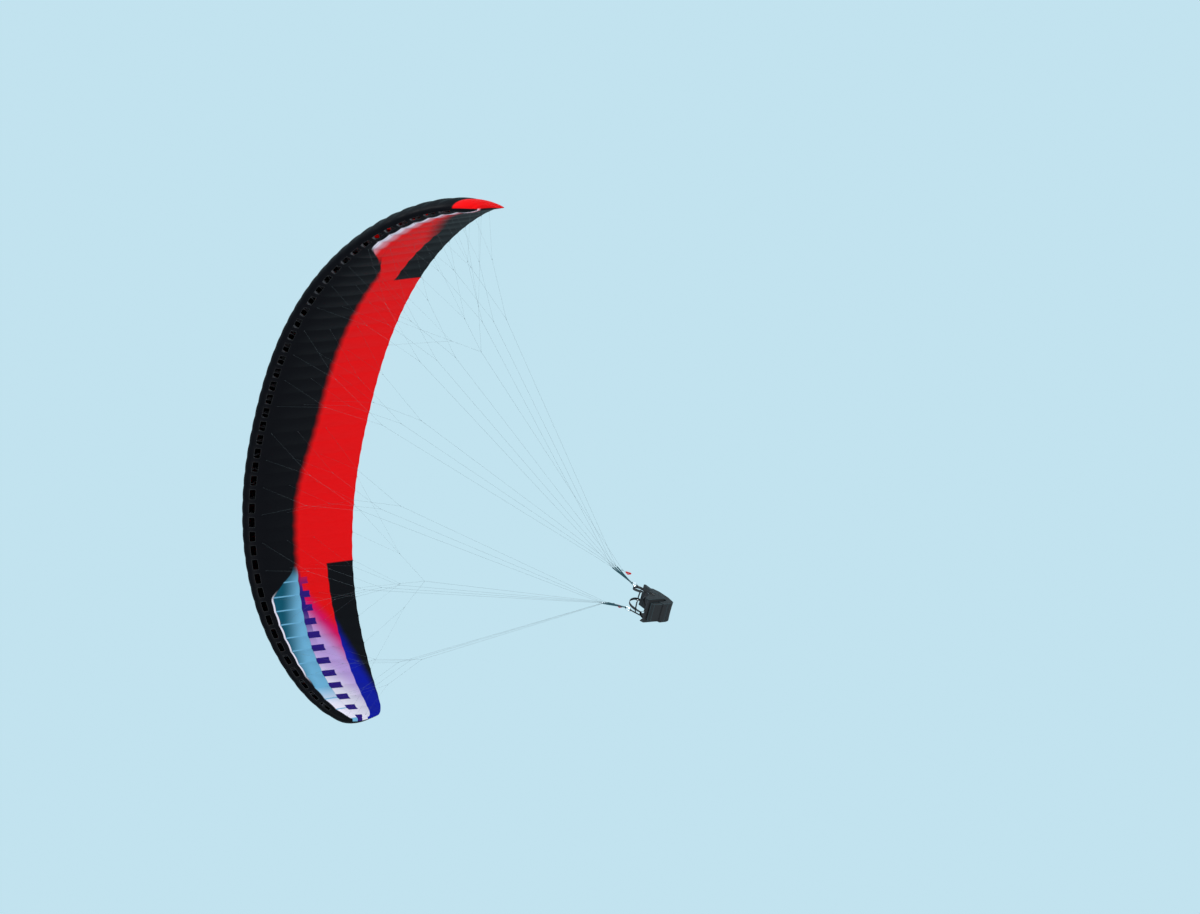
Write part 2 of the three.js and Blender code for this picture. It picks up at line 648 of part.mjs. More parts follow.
// Shoulder straps from the top of the back rest over the shoulders to the hips
const SHOULDER = [
  [95, 268, 81.5], [96, 262, 118], [100, 225, 148], [108, 150, 150], [118, 70, 112], [132, 12, 40],
  [148, -8, -60], [160, 6, -135], [172, 30, -198],
];
const route = (points) => points.map(([x, y, z]) => vec(x, y, z));
addHarness('shoulder_strap', band(route(SHOULDER), 42, 8, vec(1, 0, 0)), 'padding', addPair);

// Chest strap between the main straps
const inner = HANG_X - WEB.width / 2 - SEAM;
const CHEST = [
  [inner, 0, -112], [inner - 16, -9, -112], [inner - 40, -20, -112], [70, -32, -112], [0, -35, -112],
];
const mirrored = CHEST.slice(0, -1).reverse().map(([x, y, z]) => [-x, y, z]);
addHarness('chest_strap', band(route([...CHEST, ...mirrored]), 25, 3, vec(0, 0, 1)), 'webbing');

// Leg straps: from each hip over the thigh to the middle of the seat's front
const LEG = [
  [177.4, -110, -390], [176, -110, -345], [150, -112, -300], [105, -125, -300], [60, -165, -365],
  [28, -190, -424], [0, -190, -429.4],
];
const legBand = (points) => band(route(points), 38, 4, vec(0, 1, 0));
const legs = [1, -1].map((hand) => legBand(LEG.map(([x, y, z]) => [hand * x, y, z])));
const legTab = legBand([[-25, -190, -429.4], [25, -190, -429.4]]);
addHarness('leg_straps', joinAll([...legs, legTab]), 'webbing');

export default paraglider;
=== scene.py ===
# %% [markdown]
# # A paraglider in flight
# The imported model is the frame. Each piece below is worked out where its solid lies, in metres, with
# +Z up and flight along -Y, and most of them ride on one of the frame's bodies. The wing is one
# formula: a rib number, a chord fraction and a side give a point of the cloth, so every piece that is
# sewn or tied to the cloth asks the same formula where to go.

# %% Load the frame
import math

import bmesh
import bpy
import numpy as np
from mathutils import Matrix, Vector


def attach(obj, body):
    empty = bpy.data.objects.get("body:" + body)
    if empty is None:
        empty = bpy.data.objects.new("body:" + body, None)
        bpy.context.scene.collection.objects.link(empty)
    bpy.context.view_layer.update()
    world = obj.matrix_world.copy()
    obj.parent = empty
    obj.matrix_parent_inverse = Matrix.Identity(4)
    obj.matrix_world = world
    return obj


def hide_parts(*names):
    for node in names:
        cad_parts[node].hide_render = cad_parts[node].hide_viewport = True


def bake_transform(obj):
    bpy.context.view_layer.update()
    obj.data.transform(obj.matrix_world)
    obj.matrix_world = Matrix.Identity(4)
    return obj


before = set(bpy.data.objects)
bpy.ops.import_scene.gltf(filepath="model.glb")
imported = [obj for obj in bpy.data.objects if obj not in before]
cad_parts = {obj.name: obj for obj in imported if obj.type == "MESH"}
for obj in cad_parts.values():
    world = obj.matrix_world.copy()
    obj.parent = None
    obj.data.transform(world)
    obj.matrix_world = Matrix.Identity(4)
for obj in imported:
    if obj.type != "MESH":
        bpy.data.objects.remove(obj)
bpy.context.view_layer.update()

# %% [markdown]
# ## Camera
# The wing is seen from in front and below, with the camera rolled so far that the span runs up the
# picture. The camera stands just over the floor. It is turned, not shifted, so that its aim point
# falls at its pixel: a shift would follow the camera into every other view.

# %% Camera
PHOTO_WIDTH, PHOTO_HEIGHT = 1200, 914
SENSOR = 36.0
AIM_POINT = np.array([0.0, 0.0, -2.856])
AIM_PIXEL = (417.7, 479.3)
VIEW_DISTANCE = 60.0
PIXELS_PER_METRE = 59.88
LOOK_UP, LOOK_ACROSS, ROLL = (math.radians(angle) for angle in (38.51, 22.682, -61.698))
CLIP_END = 1000


def unit(vector):
    """The vector over its own length, along the last axis."""
    vector = np.asarray(vector, float)
    return vector / np.linalg.norm(vector, axis=-1, keepdims=True)


def aim_camera():
    """Camera axes: forward from the camera to the aim point, right level with the floor, then both
    rolled, then forward turned by the aim pixel's offset over the focal length in pixels."""
    outward = np.array([
        math.sin(LOOK_ACROSS) * math.cos(LOOK_UP),
        -math.cos(LOOK_ACROSS) * math.cos(LOOK_UP),
        -math.sin(LOOK_UP),
    ])
    level = unit(np.cross(-outward, [0, 0, 1]))
    upright = np.cross(level, -outward)
    right = math.cos(ROLL) * level + math.sin(ROLL) * upright
    up = math.cos(ROLL) * upright - math.sin(ROLL) * level
    focal_pixels = PIXELS_PER_METRE * VIEW_DISTANCE
    across = (AIM_PIXEL[0] - PHOTO_WIDTH / 2) / focal_pixels
    down = (AIM_PIXEL[1] - PHOTO_HEIGHT / 2) / focal_pixels
    forward = unit(-outward - across * right + down * up)
    right = unit(right - (right @ forward) * forward)
    turn = np.column_stack([right, np.cross(right, forward), -forward])
    camera = bpy.data.objects.new("camera", bpy.data.cameras.new("camera"))
    camera.matrix_world = Matrix.LocRotScale(
        Vector(AIM_POINT + outward * VIEW_DISTANCE), Matrix(turn.tolist()).to_quaternion(), None)
    camera.data.sensor_width = SENSOR
    camera.data.lens = focal_pixels / PHOTO_WIDTH * SENSOR
    camera.data.clip_end = CLIP_END
    bpy.context.scene.collection.objects.link(camera)
    bpy.context.scene.camera = camera
    return camera


camera = aim_camera()
print("Camera at", [round(value, 2) for value in camera.location], "lens", round(camera.data.lens, 1), "mm")

# %% [markdown]
# ## Light and floor
# The light is a pale sky all round, a broad lamp on the wing's left that reaches the inner face of
# the right tip, and one from below, for the light that open ground throws back on the underside.

# %% Light and floor
FLOOR_Z, FLOOR_HALF = -41.0, 400
FLOOR_COLOUR, FLOOR_ROUGHNESS = (0.5, 0.51, 0.51, 1), 0.9
SKY_COLOUR, SKY_STRENGTH = (0.6, 0.85, 0.96, 1), 0.9
SUNS = [
    # name, direction of the light, strength, size on the sky in degrees
    ("broad_sun", (-0.72, 0.35, -0.6), 2.6, 12),
    ("floor_fill", (-0.25, 0.5, 0.83), 1.9, 40),
]


def sun(name, direction, strength, degrees):
    """Lamp whose light runs along a direction everywhere, and is softer the larger it looks."""
    data = bpy.data.lights.new(name, "SUN")
    data.energy = strength
    data.angle = math.radians(degrees)
    made = bpy.data.objects.new(name, data)
    made.rotation_mode = "QUATERNION"
    made.rotation_quaternion = Vector(direction).to_track_quat("-Z", "Y")
    bpy.context.scene.collection.objects.link(made)


def plain_floor():
    """Square plane 800 m wide, so that its edge stays out of the other views. It casts no shadow, so
    that the sun under it still reaches the wing."""
    mesh = bpy.data.meshes.new("floor")
    corners = [(x * FLOOR_HALF, y * FLOOR_HALF, FLOOR_Z) for x, y in ((-1, -1), (1, -1), (1, 1), (-1, 1))]
    mesh.from_pydata(corners, [], [(0, 1, 2, 3)])
    material = bpy.data.materials.new("pale_floor")
    material.use_nodes = True
    shader = material.node_tree.nodes["Principled BSDF"]
    shader.inputs["Base Color"].default_value = FLOOR_COLOUR
    shader.inputs["Roughness"].default_value = FLOOR_ROUGHNESS
    mesh.materials.append(material)
    floor = bpy.data.objects.new("floor", mesh)
    bpy.context.scene.collection.objects.link(floor)
    floor.visible_shadow = False


sky = bpy.data.worlds.new("pale_sky")
sky.use_nodes = True
background = sky.node_tree.nodes["Background"]
background.inputs["Color"].default_value = SKY_COLOUR
background.inputs["Strength"].default_value = SKY_STRENGTH
bpy.context.scene.world = sky
bpy.context.scene.view_settings.view_transform = "Standard"
for one in SUNS:
    sun(*one)
plain_floor()
print("Lamps:", len(SUNS))

# %% [markdown]
# ## The wing as a formula
# These are the driving sizes of the cloth, the same as in the frame. Span fraction a runs from 0 at
# the middle to 1 at a tip. The chord shrinks as a rounded curve, the reference line bends down along
# an arc, and between two ribs the cloth swells by a sine. Working the surface out again on a finer
# grid, rather than smoothing the solids, keeps the round cells and still meets the frame.

# %% Wing formula
HALF_SPAN, HALF_CELLS = 5.7, 23
ROOT_CHORD, TIP_CHORD_SHARE, PLAN_POWER = 2.75, 0.225, 2.14
TIP_SWEEP, REFERENCE = 0.4, 0.35
ARC_ANGLE, ARC_POWER, CURL_ANGLE, CURL_START = 66.0, 1.28, 12.0, 0.8
THICKNESS, CAMBER, BALLOON = 0.17, 0.035, 0.026
SMALL_CELL, SWELL_RISE = 0.3, 8   # share added to a small cell's swell, and how soon it is full
EDGE_HALF, EDGE_RISE = 0.002, 0.01
ARC_STEPS = 48
NOSE_SWELL, NOSE_REACH = 0.014, 0.03
EDGE_PULL, PULL_FROM = 0.009, 0.9
RIB_PITCH = HALF_SPAN / HALF_CELLS


def chord(a):
    """Tip chord plus the rest times the root of one less a to the plan power."""
    fullness = np.sqrt(np.maximum(0, 1 - a ** PLAN_POWER))
    return ROOT_CHORD * (TIP_CHORD_SHARE + (1 - TIP_CHORD_SHARE) * fullness)


def slope(a):
    """Lean of the skin in radians: a power of a, with an extra square curl in the last cells."""
    curl = np.clip((a - CURL_START) / (1 - CURL_START), 0, 1)
    return np.radians(ARC_ANGLE * a ** ARC_POWER + CURL_ANGLE * curl ** 2)


def arc_point(a):
    """Sideways and upward place of the reference line: short steps, each leaning by its own slope."""
    middles = (np.arange(ARC_STEPS) + 0.5) / ARC_STEPS
    angle = slope(a[..., None] * middles)
    return np.cos(angle).mean(-1) * HALF_SPAN * a, -np.sin(angle).mean(-1) * HALF_SPAN * a


def aerofoil(x):
    """Camber as a parabola, and half thickness as a root and a polynomial, in chord fractions."""
    half = 5 * THICKNESS * (
        0.2969 * np.sqrt(x) - 0.126 * x - 0.3516 * x ** 2 + 0.2843 * x ** 3 - 0.1036 * x ** 4)
    return CAMBER * 4 * x * (1 - x), half


ORIGIN_LIFT = ROOT_CHORD * (aerofoil(REFERENCE)[1] - aerofoil(REFERENCE)[0])


def skin(rib, x, side, inset=0.0):
    """Point of the cloth. Its height over the reference line is camber plus side times half thickness,
    laid off square to the arc. Between ribs, times a sine, the half thickness grows by a swell that
    rises from the nose and falls as a root to the rear, and nose and trailing edge move forward."""
    rib, x, side = np.broadcast_arrays(*(np.asarray(value, float) for value in (rib, x, side)))
    a = np.minimum(1, np.abs(rib) / HALF_CELLS)
    hand = np.where(rib < 0, -1.0, 1.0)
    c, angle = chord(a), slope(a)
    arc_x, arc_z = arc_point(a)
    camber, half = aerofoil(x)
    between = np.abs(np.sin(np.pi * rib))
    size = np.minimum(1, c / ROOT_CHORD + SMALL_CELL)
    swell = BALLOON * between * size * np.minimum(1, SWELL_RISE * x) * np.sqrt(1 - x)
    half = np.maximum(half * c + swell, EDGE_HALF * np.minimum(1, x / EDGE_RISE))
    height = camber * c + side * np.maximum(half - inset, 0)
    pull = EDGE_PULL * np.clip((x - PULL_FROM) / 0.1, 0, 1) ** 2
    forward = NOSE_SWELL * np.exp(-x / NOSE_REACH) + pull
    y = TIP_SWEEP * a ** 3 + (x - REFERENCE) * c - forward * between * size
    return np.stack([
        hand * (arc_x + np.sin(angle) * height), y, arc_z + np.cos(angle) * height + ORIGIN_LIFT], axis=-1)


def outwards_at(rib):
    """Direction along the span at a rib, away from the middle: the cosine and sine of its slope."""
    angle = slope(np.array(abs(rib) / HALF_CELLS))
    return np.array([math.copysign(math.cos(angle), rib), 0, -math.sin(angle)])


print("Span", round(2 * float(skin(HALF_CELLS, 0.5, 1)[0]), 2), "m, root chord", ROOT_CHORD, "m")

# %% [markdown]
# ## Grids and sweeps
# A part is a set of points with blocks of faces and the UV of every face corner. Two shapes make
# nearly all of them: a grid of points over two parameters, and a profile carried along a path.

# %% Grids and sweeps


def grid(points, close_cols=False, uv=None, keep=None):
    """Part from a grid: each point, its neighbours along both directions and the one across make a
    face. A closed direction joins its last column to its first."""
    rows, cols = points.shape[:2]
    index = np.arange(rows * cols).reshape(rows, cols)
    if close_cols:
        index = np.hstack([index, index[:, :1]])
    if uv is None:
        uv = np.zeros((*index.shape, 2))
    corners = [np.s_[:-1, :-1], np.s_[1:, :-1], np.s_[1:, 1:], np.s_[:-1, 1:]]
    faces = np.stack([index[at] for at in corners], axis=-1)
    face_uv = np.stack([uv[at] for at in corners], axis=-2)
    chosen = np.ones(faces.shape[:2], bool) if keep is None else keep
    return points.reshape(-1, 3), [faces[chosen]], [face_uv[chosen]]


def lengths(points, power=1.0):
    """Length along a path at each of its points, or the sum of its steps' lengths to a power."""
    steps = np.linalg.norm(np.diff(points, axis=0), axis=1)
    return np.concatenate([[0], np.cumsum(steps ** power)])


def sweep(path, profile, across, closed=False, scale=1.0):
    """Profile (u, v) carried along a path: each point is the path's, plus u along the across
    direction and v along tangent times across, both times the scale there. Flat ends close an
    open path."""
    path, profile = np.asarray(path, float), np.asarray(profile, float)
    if closed:
        path = np.vstack([path, path[:1]])
    tangent = np.gradient(path, axis=0)
    if closed:
        tangent[0] = tangent[-1] = path[1] - path[-2]
    across = unit(np.broadcast_to(np.asarray(across, float), path.shape))
    out = unit(np.cross(tangent, across))
    across = unit(np.cross(out, tangent))
    sized = np.broadcast_to(scale, len(path))[:, None, None] * profile
    points = path[:, None] + sized[..., :1] * across[:, None] + sized[..., 1:] * out[:, None]
    round_it = lengths(np.vstack([profile, profile[:1]]))
    uv = np.stack(np.meshgrid(lengths(path), round_it, indexing="ij"), axis=-1)
    points, faces, uvs = grid(points, close_cols=True, uv=uv)
    count = len(profile)
    if closed:
        last = (len(path) - 1) * count
        faces = [np.where(faces[0] >= last, faces[0] - last, faces[0])]
        return points[:last], faces, uvs
    ends = np.array([np.arange(count), (len(path) - 1) * count + np.arange(count)[::-1]])
    return points, [*faces, ends], [*uvs, np.zeros((2, count, 2))]


print("Grid and sweep ready")

# %% [markdown]
# ## Profiles and paths
# Lines and rods are round, and webbing is a flat band. A path is a straight, a ring, a curve
# through a few points or an outline with rounded corners.

# %% Profiles and paths


def circle(radius, sides=8):
    """Points of a round profile, turned so that it runs the way that makes a sweep face outwards."""
    turn = -2 * np.pi * np.arange(sides) / sides
    return np.column_stack([np.cos(turn), np.sin(turn)]) * radius


def strap_profile(width, thick):
    """Flat band with small chamfers, so that its edges catch the light."""
    w, t, c = width / 2, thick / 2, thick / 5
    return np.array([(-w, -t + c), (-w, t - c), (-w + c, t), (w - c, t),
                     (w, t - c), (w, -t + c), (w - c, -t), (-w + c, -t)])


def rod(start, end, radius, sides=8):
    """Straight round rod. Its across direction is square to it and to Y."""
    start, end = np.asarray(start, float), np.asarray(end, float)
    return sweep([start, end], circle(radius, sides), np.cross(end - start, [0, 1, 0]))


def smooth_path(points, count):
    """Curve through points: each coordinate is a cubic of chord length with matched slopes."""
    points = np.asarray(points, float)
    knots = lengths(points, 0.5)
    slopes = np.gradient(points, knots, axis=0)
    at = np.linspace(0, knots[-1], count)
    k = np.clip(np.searchsorted(knots, at, side="right") - 1, 0, len(knots) - 2)
    step = (knots[k + 1] - knots[k])[:, None]
    t = (at - knots[k])[:, None] / step
    return (points[k] * (2 * t ** 3 - 3 * t ** 2 + 1) + slopes[k] * step * (t ** 3 - 2 * t ** 2 + t)
            + points[k + 1] * (3 * t ** 2 - 2 * t ** 3) + slopes[k + 1] * step * (t ** 3 - t ** 2))


def ring_path(centre, first, second, sides=24):
    """Ellipse round a centre, with its two half axes given as vectors."""
    turn = np.linspace(0, 2 * np.pi, sides, endpoint=False)[:, None]
    return centre + np.cos(turn) * np.asarray(first, float) + np.sin(turn) * np.asarray(second, float)


def rounded(corners, radius, steps=6):
    """Closed path whose corners become short parabolas that begin a radius away from each, or nearly
    half the way to the next corner where that is less."""
    corners = np.asarray(corners, float)
    before, after = np.roll(corners, 1, axis=0) - corners, np.roll(corners, -1, axis=0) - corners
    room = np.minimum(np.linalg.norm(before, axis=1), np.linalg.norm(after, axis=1))[:, None]
    reach = np.minimum(radius, 0.46 * room)
    begin, end = corners + unit(before) * reach, corners + unit(after) * reach
    t = np.linspace(0, 1, steps)[None, :, None]
    curve = begin[:, None] * (1 - t) ** 2 + corners[:, None] * 2 * t * (1 - t) + end[:, None] * t ** 2
    return curve.reshape(-1, corners.shape[1])


print("Profiles and paths ready")

# %% [markdown]
# ## Pieces
# A piece is one mesh object of several parts, which rides on a body of the frame. Most pairs are
# worked out on the left only. A mirror image turns faces inside out, so their corners are listed
# backwards.

# %% Pieces


def mirrored(part, hand):
    """The part itself for hand 1, or for -1 its mirror image across X with each face turned round."""
    points, faces, uvs = part
    if hand > 0:
        return part
    return points * [-1, 1, 1], [block[:, ::-1] for block in faces], [uv[:, ::-1] for uv in uvs]


def piece(name, parts, material, body, hand=1, smooth_angle=40.0, maps=None):
    """Mesh object of some parts, or for hand -1 of their mirror images, which rides on a body and
    takes its finish from a slot. maps gives named numbers for each point."""
    parts = [mirrored(part, hand) for part in parts]
    offset, faces = 0, []
    for points, blocks, _ in parts:
        for block in blocks:
            faces += (block + offset).tolist()
        offset += len(points)
    mesh = bpy.data.meshes.new(name)
    mesh.from_pydata(np.vstack([points for points, _, _ in parts]).tolist(), [], faces)
    uv = np.concatenate([one.reshape(-1, 2) for _, _, uvs in parts for one in uvs])
    mesh.uv_layers.new(name="lay").data.foreach_set("uv", uv.astype(np.float32).ravel())
    for key, values in (maps or {}).items():
        kept = mesh.attributes.new(key, "FLOAT", "POINT")
        kept.data.foreach_set("value", values.astype(np.float32).ravel())
    mesh.polygons.foreach_set("use_smooth", np.ones(len(mesh.polygons), bool))
    mesh.set_sharp_from_angle(angle=math.radians(smooth_angle))
    mesh.materials.append(material)
    made = bpy.data.objects.new(name, mesh)
    bpy.context.scene.collection.objects.link(made)
    if body:
        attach(made, body)
    return made


SIDES = (("left", 1), ("right", -1))
print("Helpers ready")

# %% [markdown]
# ## Nodes in few words
# A material here is a tree of small sums. These helpers add a node, do one sum, step softly, blend
# two colours and turn a height into bump, so that each finish below reads as a list of what the eye
# sees. Shader nodes can be wired up by hand too, but a pattern of forty nodes is easier to read here.

# %% Node helpers


def feed(tree, socket, value):
    """Links a socket to another node's socket, or sets it to a number, vector or colour."""
    if isinstance(value, bpy.types.NodeSocket):
        tree.links.new(value, socket)
    else:
        socket.default_value = value


def add_node(tree, kind, inputs=None, **settings):
    """New shader node with its settings and inputs."""
    made = tree.nodes.new("ShaderNode" + kind)
    for key, value in settings.items():
        setattr(made, key, value)
    for key, value in (inputs or {}).items():
        feed(tree, made.inputs[key], value)
    return made


def sum_of(tree, operation, first, second=0.0, third=0.0):
    """Result of one math node."""
    return add_node(tree, "Math", {0: first, 1: second, 2: third}, operation=operation).outputs[0]


def both(tree, *masks):
    """Product of masks: 1 only where all of them are."""
    whole = masks[0]
    for mask in masks[1:]:
        whole = sum_of(tree, "MULTIPLY", whole, mask)
    return whole


def rise(tree, value, low, high):
    """0 under low, 1 over high, and a smooth step between, or the other way round if low is higher."""
    limits = {"Value": value, "From Min": low, "From Max": high}
    return add_node(tree, "MapRange", limits, interpolation_type="SMOOTHSTEP").outputs[0]


def blend(tree, share, first, second):
    """Colour between two others."""
    return add_node(tree, "Mix", {"Factor": share, 6: first, 7: second}, data_type="RGBA").outputs[2]


def lay_of(tree):
    """The piece's own UV in metres, and its two numbers: along, and across or round."""
    lay = add_node(tree, "UVMap", uv_map="lay").outputs[0]
    return lay, *add_node(tree, "SeparateXYZ", {0: lay}).outputs[:2]


def emboss(tree, shader, height, strength, distance):
    """Bump of a height on a shader."""
    bump = add_node(tree, "Bump", {"Height": height, "Strength": strength, "Distance": distance}).outputs[0]
    feed(tree, shader.inputs["Normal"], bump)
    return bump


def new_material(name, roughness, **sockets):
    """Material with a principled shader, with constant values on its own sockets."""
    material = bpy.data.materials.new(name)
    material.use_nodes = True
    shader = material.node_tree.nodes["Principled BSDF"]
    shader.inputs["Roughness"].default_value = roughness
    for key, value in sockets.items():
        shader.inputs[key.replace("_", " ")].default_value = value
    return material, material.node_tree, shader


print("Node helpers ready")

# %% [markdown]
# ## Colours of the wing
# The pattern follows the plan of the wing, so it is read from two numbers kept on the points: span
# fraction and chord fraction. Colours and edges stand in tables, where each can be set on its own.

# %% Colours of the wing
# Painted light among these colours: magenta, lilac, white and deep blue carry painted sunlight on the lit
# right tip as well as the cloth's colours. Violet is painted shade at the ribs. Pink, and white in the thin
# line, are painted highlights. Teal and pale blue are partly a painted reflection of the sky.
BLACK = (0.004, 0.004, 0.006, 1)
RED = (0.9, 0.004, 0.006, 1)
MAGENTA = (0.7, 0.006, 0.22, 1)
LILAC = (0.62, 0.4, 0.78, 1)
WHITE = (0.9, 0.82, 0.92, 1)
DEEP_BLUE = (0.003, 0.01, 0.42, 1)
TEAL = (0.006, 0.1, 0.16, 1)
PALE_BLUE = (0.2, 0.5, 0.72, 1)
SHADE_VIOLET = (0.03, 0.01, 0.22, 1)
HIGHLIGHT_PINK = (0.8, 0.3, 0.36, 1)

# Slanting edges between two colours: the span fractions where the new colour begins and is full, the
# chord fraction where that holds, and how far the edge moves outwards for each chord fraction behind.
# On the right half the red turns magenta, lilac and white outwards and the black rear band deep blue: the
# cloth's colours there, with painted sunlight on the lit tip.
RIGHT_ZONES_SUNLIT = [(MAGENTA, 0.5, 0.62, 0.4, 0.45), (LILAC, 0.56, 0.69, 0.4, 0.45), (WHITE, 0.74, 0.9, 0.4, 0.3)]
# The wedge's teal turning pale blue is partly a painted reflection of the sky.
BAND_TO_SUNLIT_BLUE, WEDGE_TO_REFLECTED_BLUE = (0.62, 0.75, 0.72, 0.8), (0.42, 0.7, 0.3, -1.3)
# On the left the red darkens to black outwards: painted shade.
RED_TO_SHADE = (0.78, 0.92, 0.4, -0.5)

# Soft steps: the two values between which a mask rises, or falls where the first is the larger. They
# are span fractions, chord fractions or, beside a rib, shares of a cell.
# Violet teeth beside the ribs and a violet strip in front of the red are painted shade.
SHADE_TOOTH_SIDE, SHADE_TOOTH_BACK, SHADE_STRIP_BACK, SHADE_STRIP_END = (0.245, 0.235), (0.5, 0.49), (0.43, 0.42), (0.75, 0.6)
# Pale blue stripes beside the ribs are painted highlights, and the wedge's white towards the tip partly a
# painted reflection of the sky.
SHADE_START, RIB_HIGHLIGHT_SIDE, WEDGE_TO_REFLECTED_WHITE = (0.48, 0.56), (0.07, 0.02), (0.86, 0.95)
# The left wedge's white and pink are a painted glancing highlight.
LEFT_TO_HIGHLIGHT_WHITE, LEFT_TO_HIGHLIGHT_PINK, LEFT_TO_RED = (0.6, 0.68), (0.11, 0.17), (0.17, 0.25)
BAND_FRONT, BAND_START = (0.715, 0.725), (0.476, 0.48)
WEDGE_START, WEDGE_BACK, WEDGE_SOFT = (0.47, 0.52), (0.004, -0.004), (0.0, 0.015)
# The pale line along the wedge's front is a painted highlight.
HIGHLIGHT_SIDE, HIGHLIGHT_START, HIGHLIGHT_END = (0.01, 0.005), (0.54, 0.58), (0.86, 0.8)
UPPER_TO_RED, UPPER_TIP, RED_TIP = (-0.003, 0.003), (0.868, 0.871), (0.957, 0.962)

# Values that change over the span: a base, then soft steps with their heights.
NOSE_RIGHT = (0.41, [((0.3, 0.0), 0.09), ((0.4, 0.95), -0.11)])
NOSE_LEFT = (0.5, [((0.5, 0.65), -0.2)])
NOSE_SOFTNESS = (0.04, [((0.5, 0.56), -0.036)])
WEDGE_FRONT = (0.36, [((0.47, 0.58), -0.26)])
WEDGE_SHIFT = -0.1               # the left half's wedge begins this much nearer the tip
print("Zones outboard on the right half:", len(RIGHT_ZONES_SUNLIT))

# %% [markdown]
# ## Pattern of the wing
# From the nose back the underside is black, then red. Outboard of half span a black rear band
# begins. Towards the right tip the red turns magenta, lilac and white and the band deep blue: the
# cloth's colours there with painted sunlight on the lit tip. Violet at the ribs there is painted
# shade. In front lies a pale blue wedge, partly a painted reflection of the sky, with a painted
# highlight line along its front and painted highlights beside the ribs. On the left the red darkens
# outwards into painted shade, and the wedge turns white and pink in a painted glancing highlight.

# %% Pattern of the wing


def stepped(tree, s, base, steps):
    """A base plus each soft step over the span times its height."""
    for step, height in steps:
        base = sum_of(tree, "MULTIPLY_ADD", rise(tree, s, *step), height, base)
    return base


def slanting(tree, s, fore, low, high, start, lean):
    """Smooth step along the span whose place moves outwards by lean for each chord fraction past
    start, so that the edge between two colours slants."""
    drawn = sum_of(tree, "MULTIPLY_ADD", fore, -lean, start * lean)
    return rise(tree, sum_of(tree, "ADD", s, drawn), low, high)


def right_under(tree, s, fore, from_rib):
    """Underside of the right half: red, magenta, lilac and white outwards, and a rear band that turns
    from black to deep blue: the cloth's colours with painted sunlight on the lit tip. Violet at each
    rib's front and in a strip is painted shade. The wedge's teal, pale blue and white are partly a
    painted reflection of the sky, with painted highlights in pale blue beside the ribs."""
    zone = RED
    # Magenta, lilac and white outwards: the cloth's colours with painted sunlight on the lit tip.
    for colour, *edge in RIGHT_ZONES_SUNLIT:
        zone = blend(tree, slanting(tree, s, fore, *edge), zone, colour)
    # Violet teeth at each rib's front and a violet strip: painted shade.
    teeth = both(tree, rise(tree, from_rib, *SHADE_TOOTH_SIDE), rise(tree, fore, *SHADE_TOOTH_BACK))
    strip = both(tree, rise(tree, fore, *SHADE_STRIP_BACK), rise(tree, s, *SHADE_STRIP_END))
    painted_shade = both(tree, sum_of(tree, "MAXIMUM", teeth, strip), rise(tree, s, *SHADE_START))
    zone = blend(tree, painted_shade, zone, SHADE_VIOLET)
    # Black to deep blue: the band's colour with painted sunlight on the lit tip.
    band = blend(tree, slanting(tree, s, fore, *BAND_TO_SUNLIT_BLUE), BLACK, DEEP_BLUE)
    # Teal to pale blue, then white towards the tip: a pale panel, partly a painted reflection of the sky.
    wedge = blend(tree, slanting(tree, s, fore, *WEDGE_TO_REFLECTED_BLUE), TEAL, PALE_BLUE)
    wedge = blend(tree, rise(tree, s, *WEDGE_TO_REFLECTED_WHITE), wedge, WHITE)
    # Pale blue beside each rib in the wedge: painted highlight on the swollen cells.
    return zone, band, blend(tree, rise(tree, from_rib, *RIB_HIGHLIGHT_SIDE), wedge, PALE_BLUE)


def left_under(tree, s, fore):
    """Underside of the left half: red that darkens outwards into painted shade, a black rear band, and a
    wedge that turns from teal to white, then to pink and red behind, whose white and pink are a painted
    glancing highlight."""
    # Red darkening to black outwards: painted shade.
    zone = blend(tree, slanting(tree, s, fore, *RED_TO_SHADE), RED, BLACK)
    # Teal to white, then pink behind: a pale panel with a painted glancing highlight.
    wedge = blend(tree, rise(tree, s, *LEFT_TO_HIGHLIGHT_WHITE), TEAL, WHITE)
    wedge = blend(tree, rise(tree, fore, *LEFT_TO_HIGHLIGHT_PINK), wedge, HIGHLIGHT_PINK)
    return zone, BLACK, blend(tree, rise(tree, fore, *LEFT_TO_RED), wedge, zone)


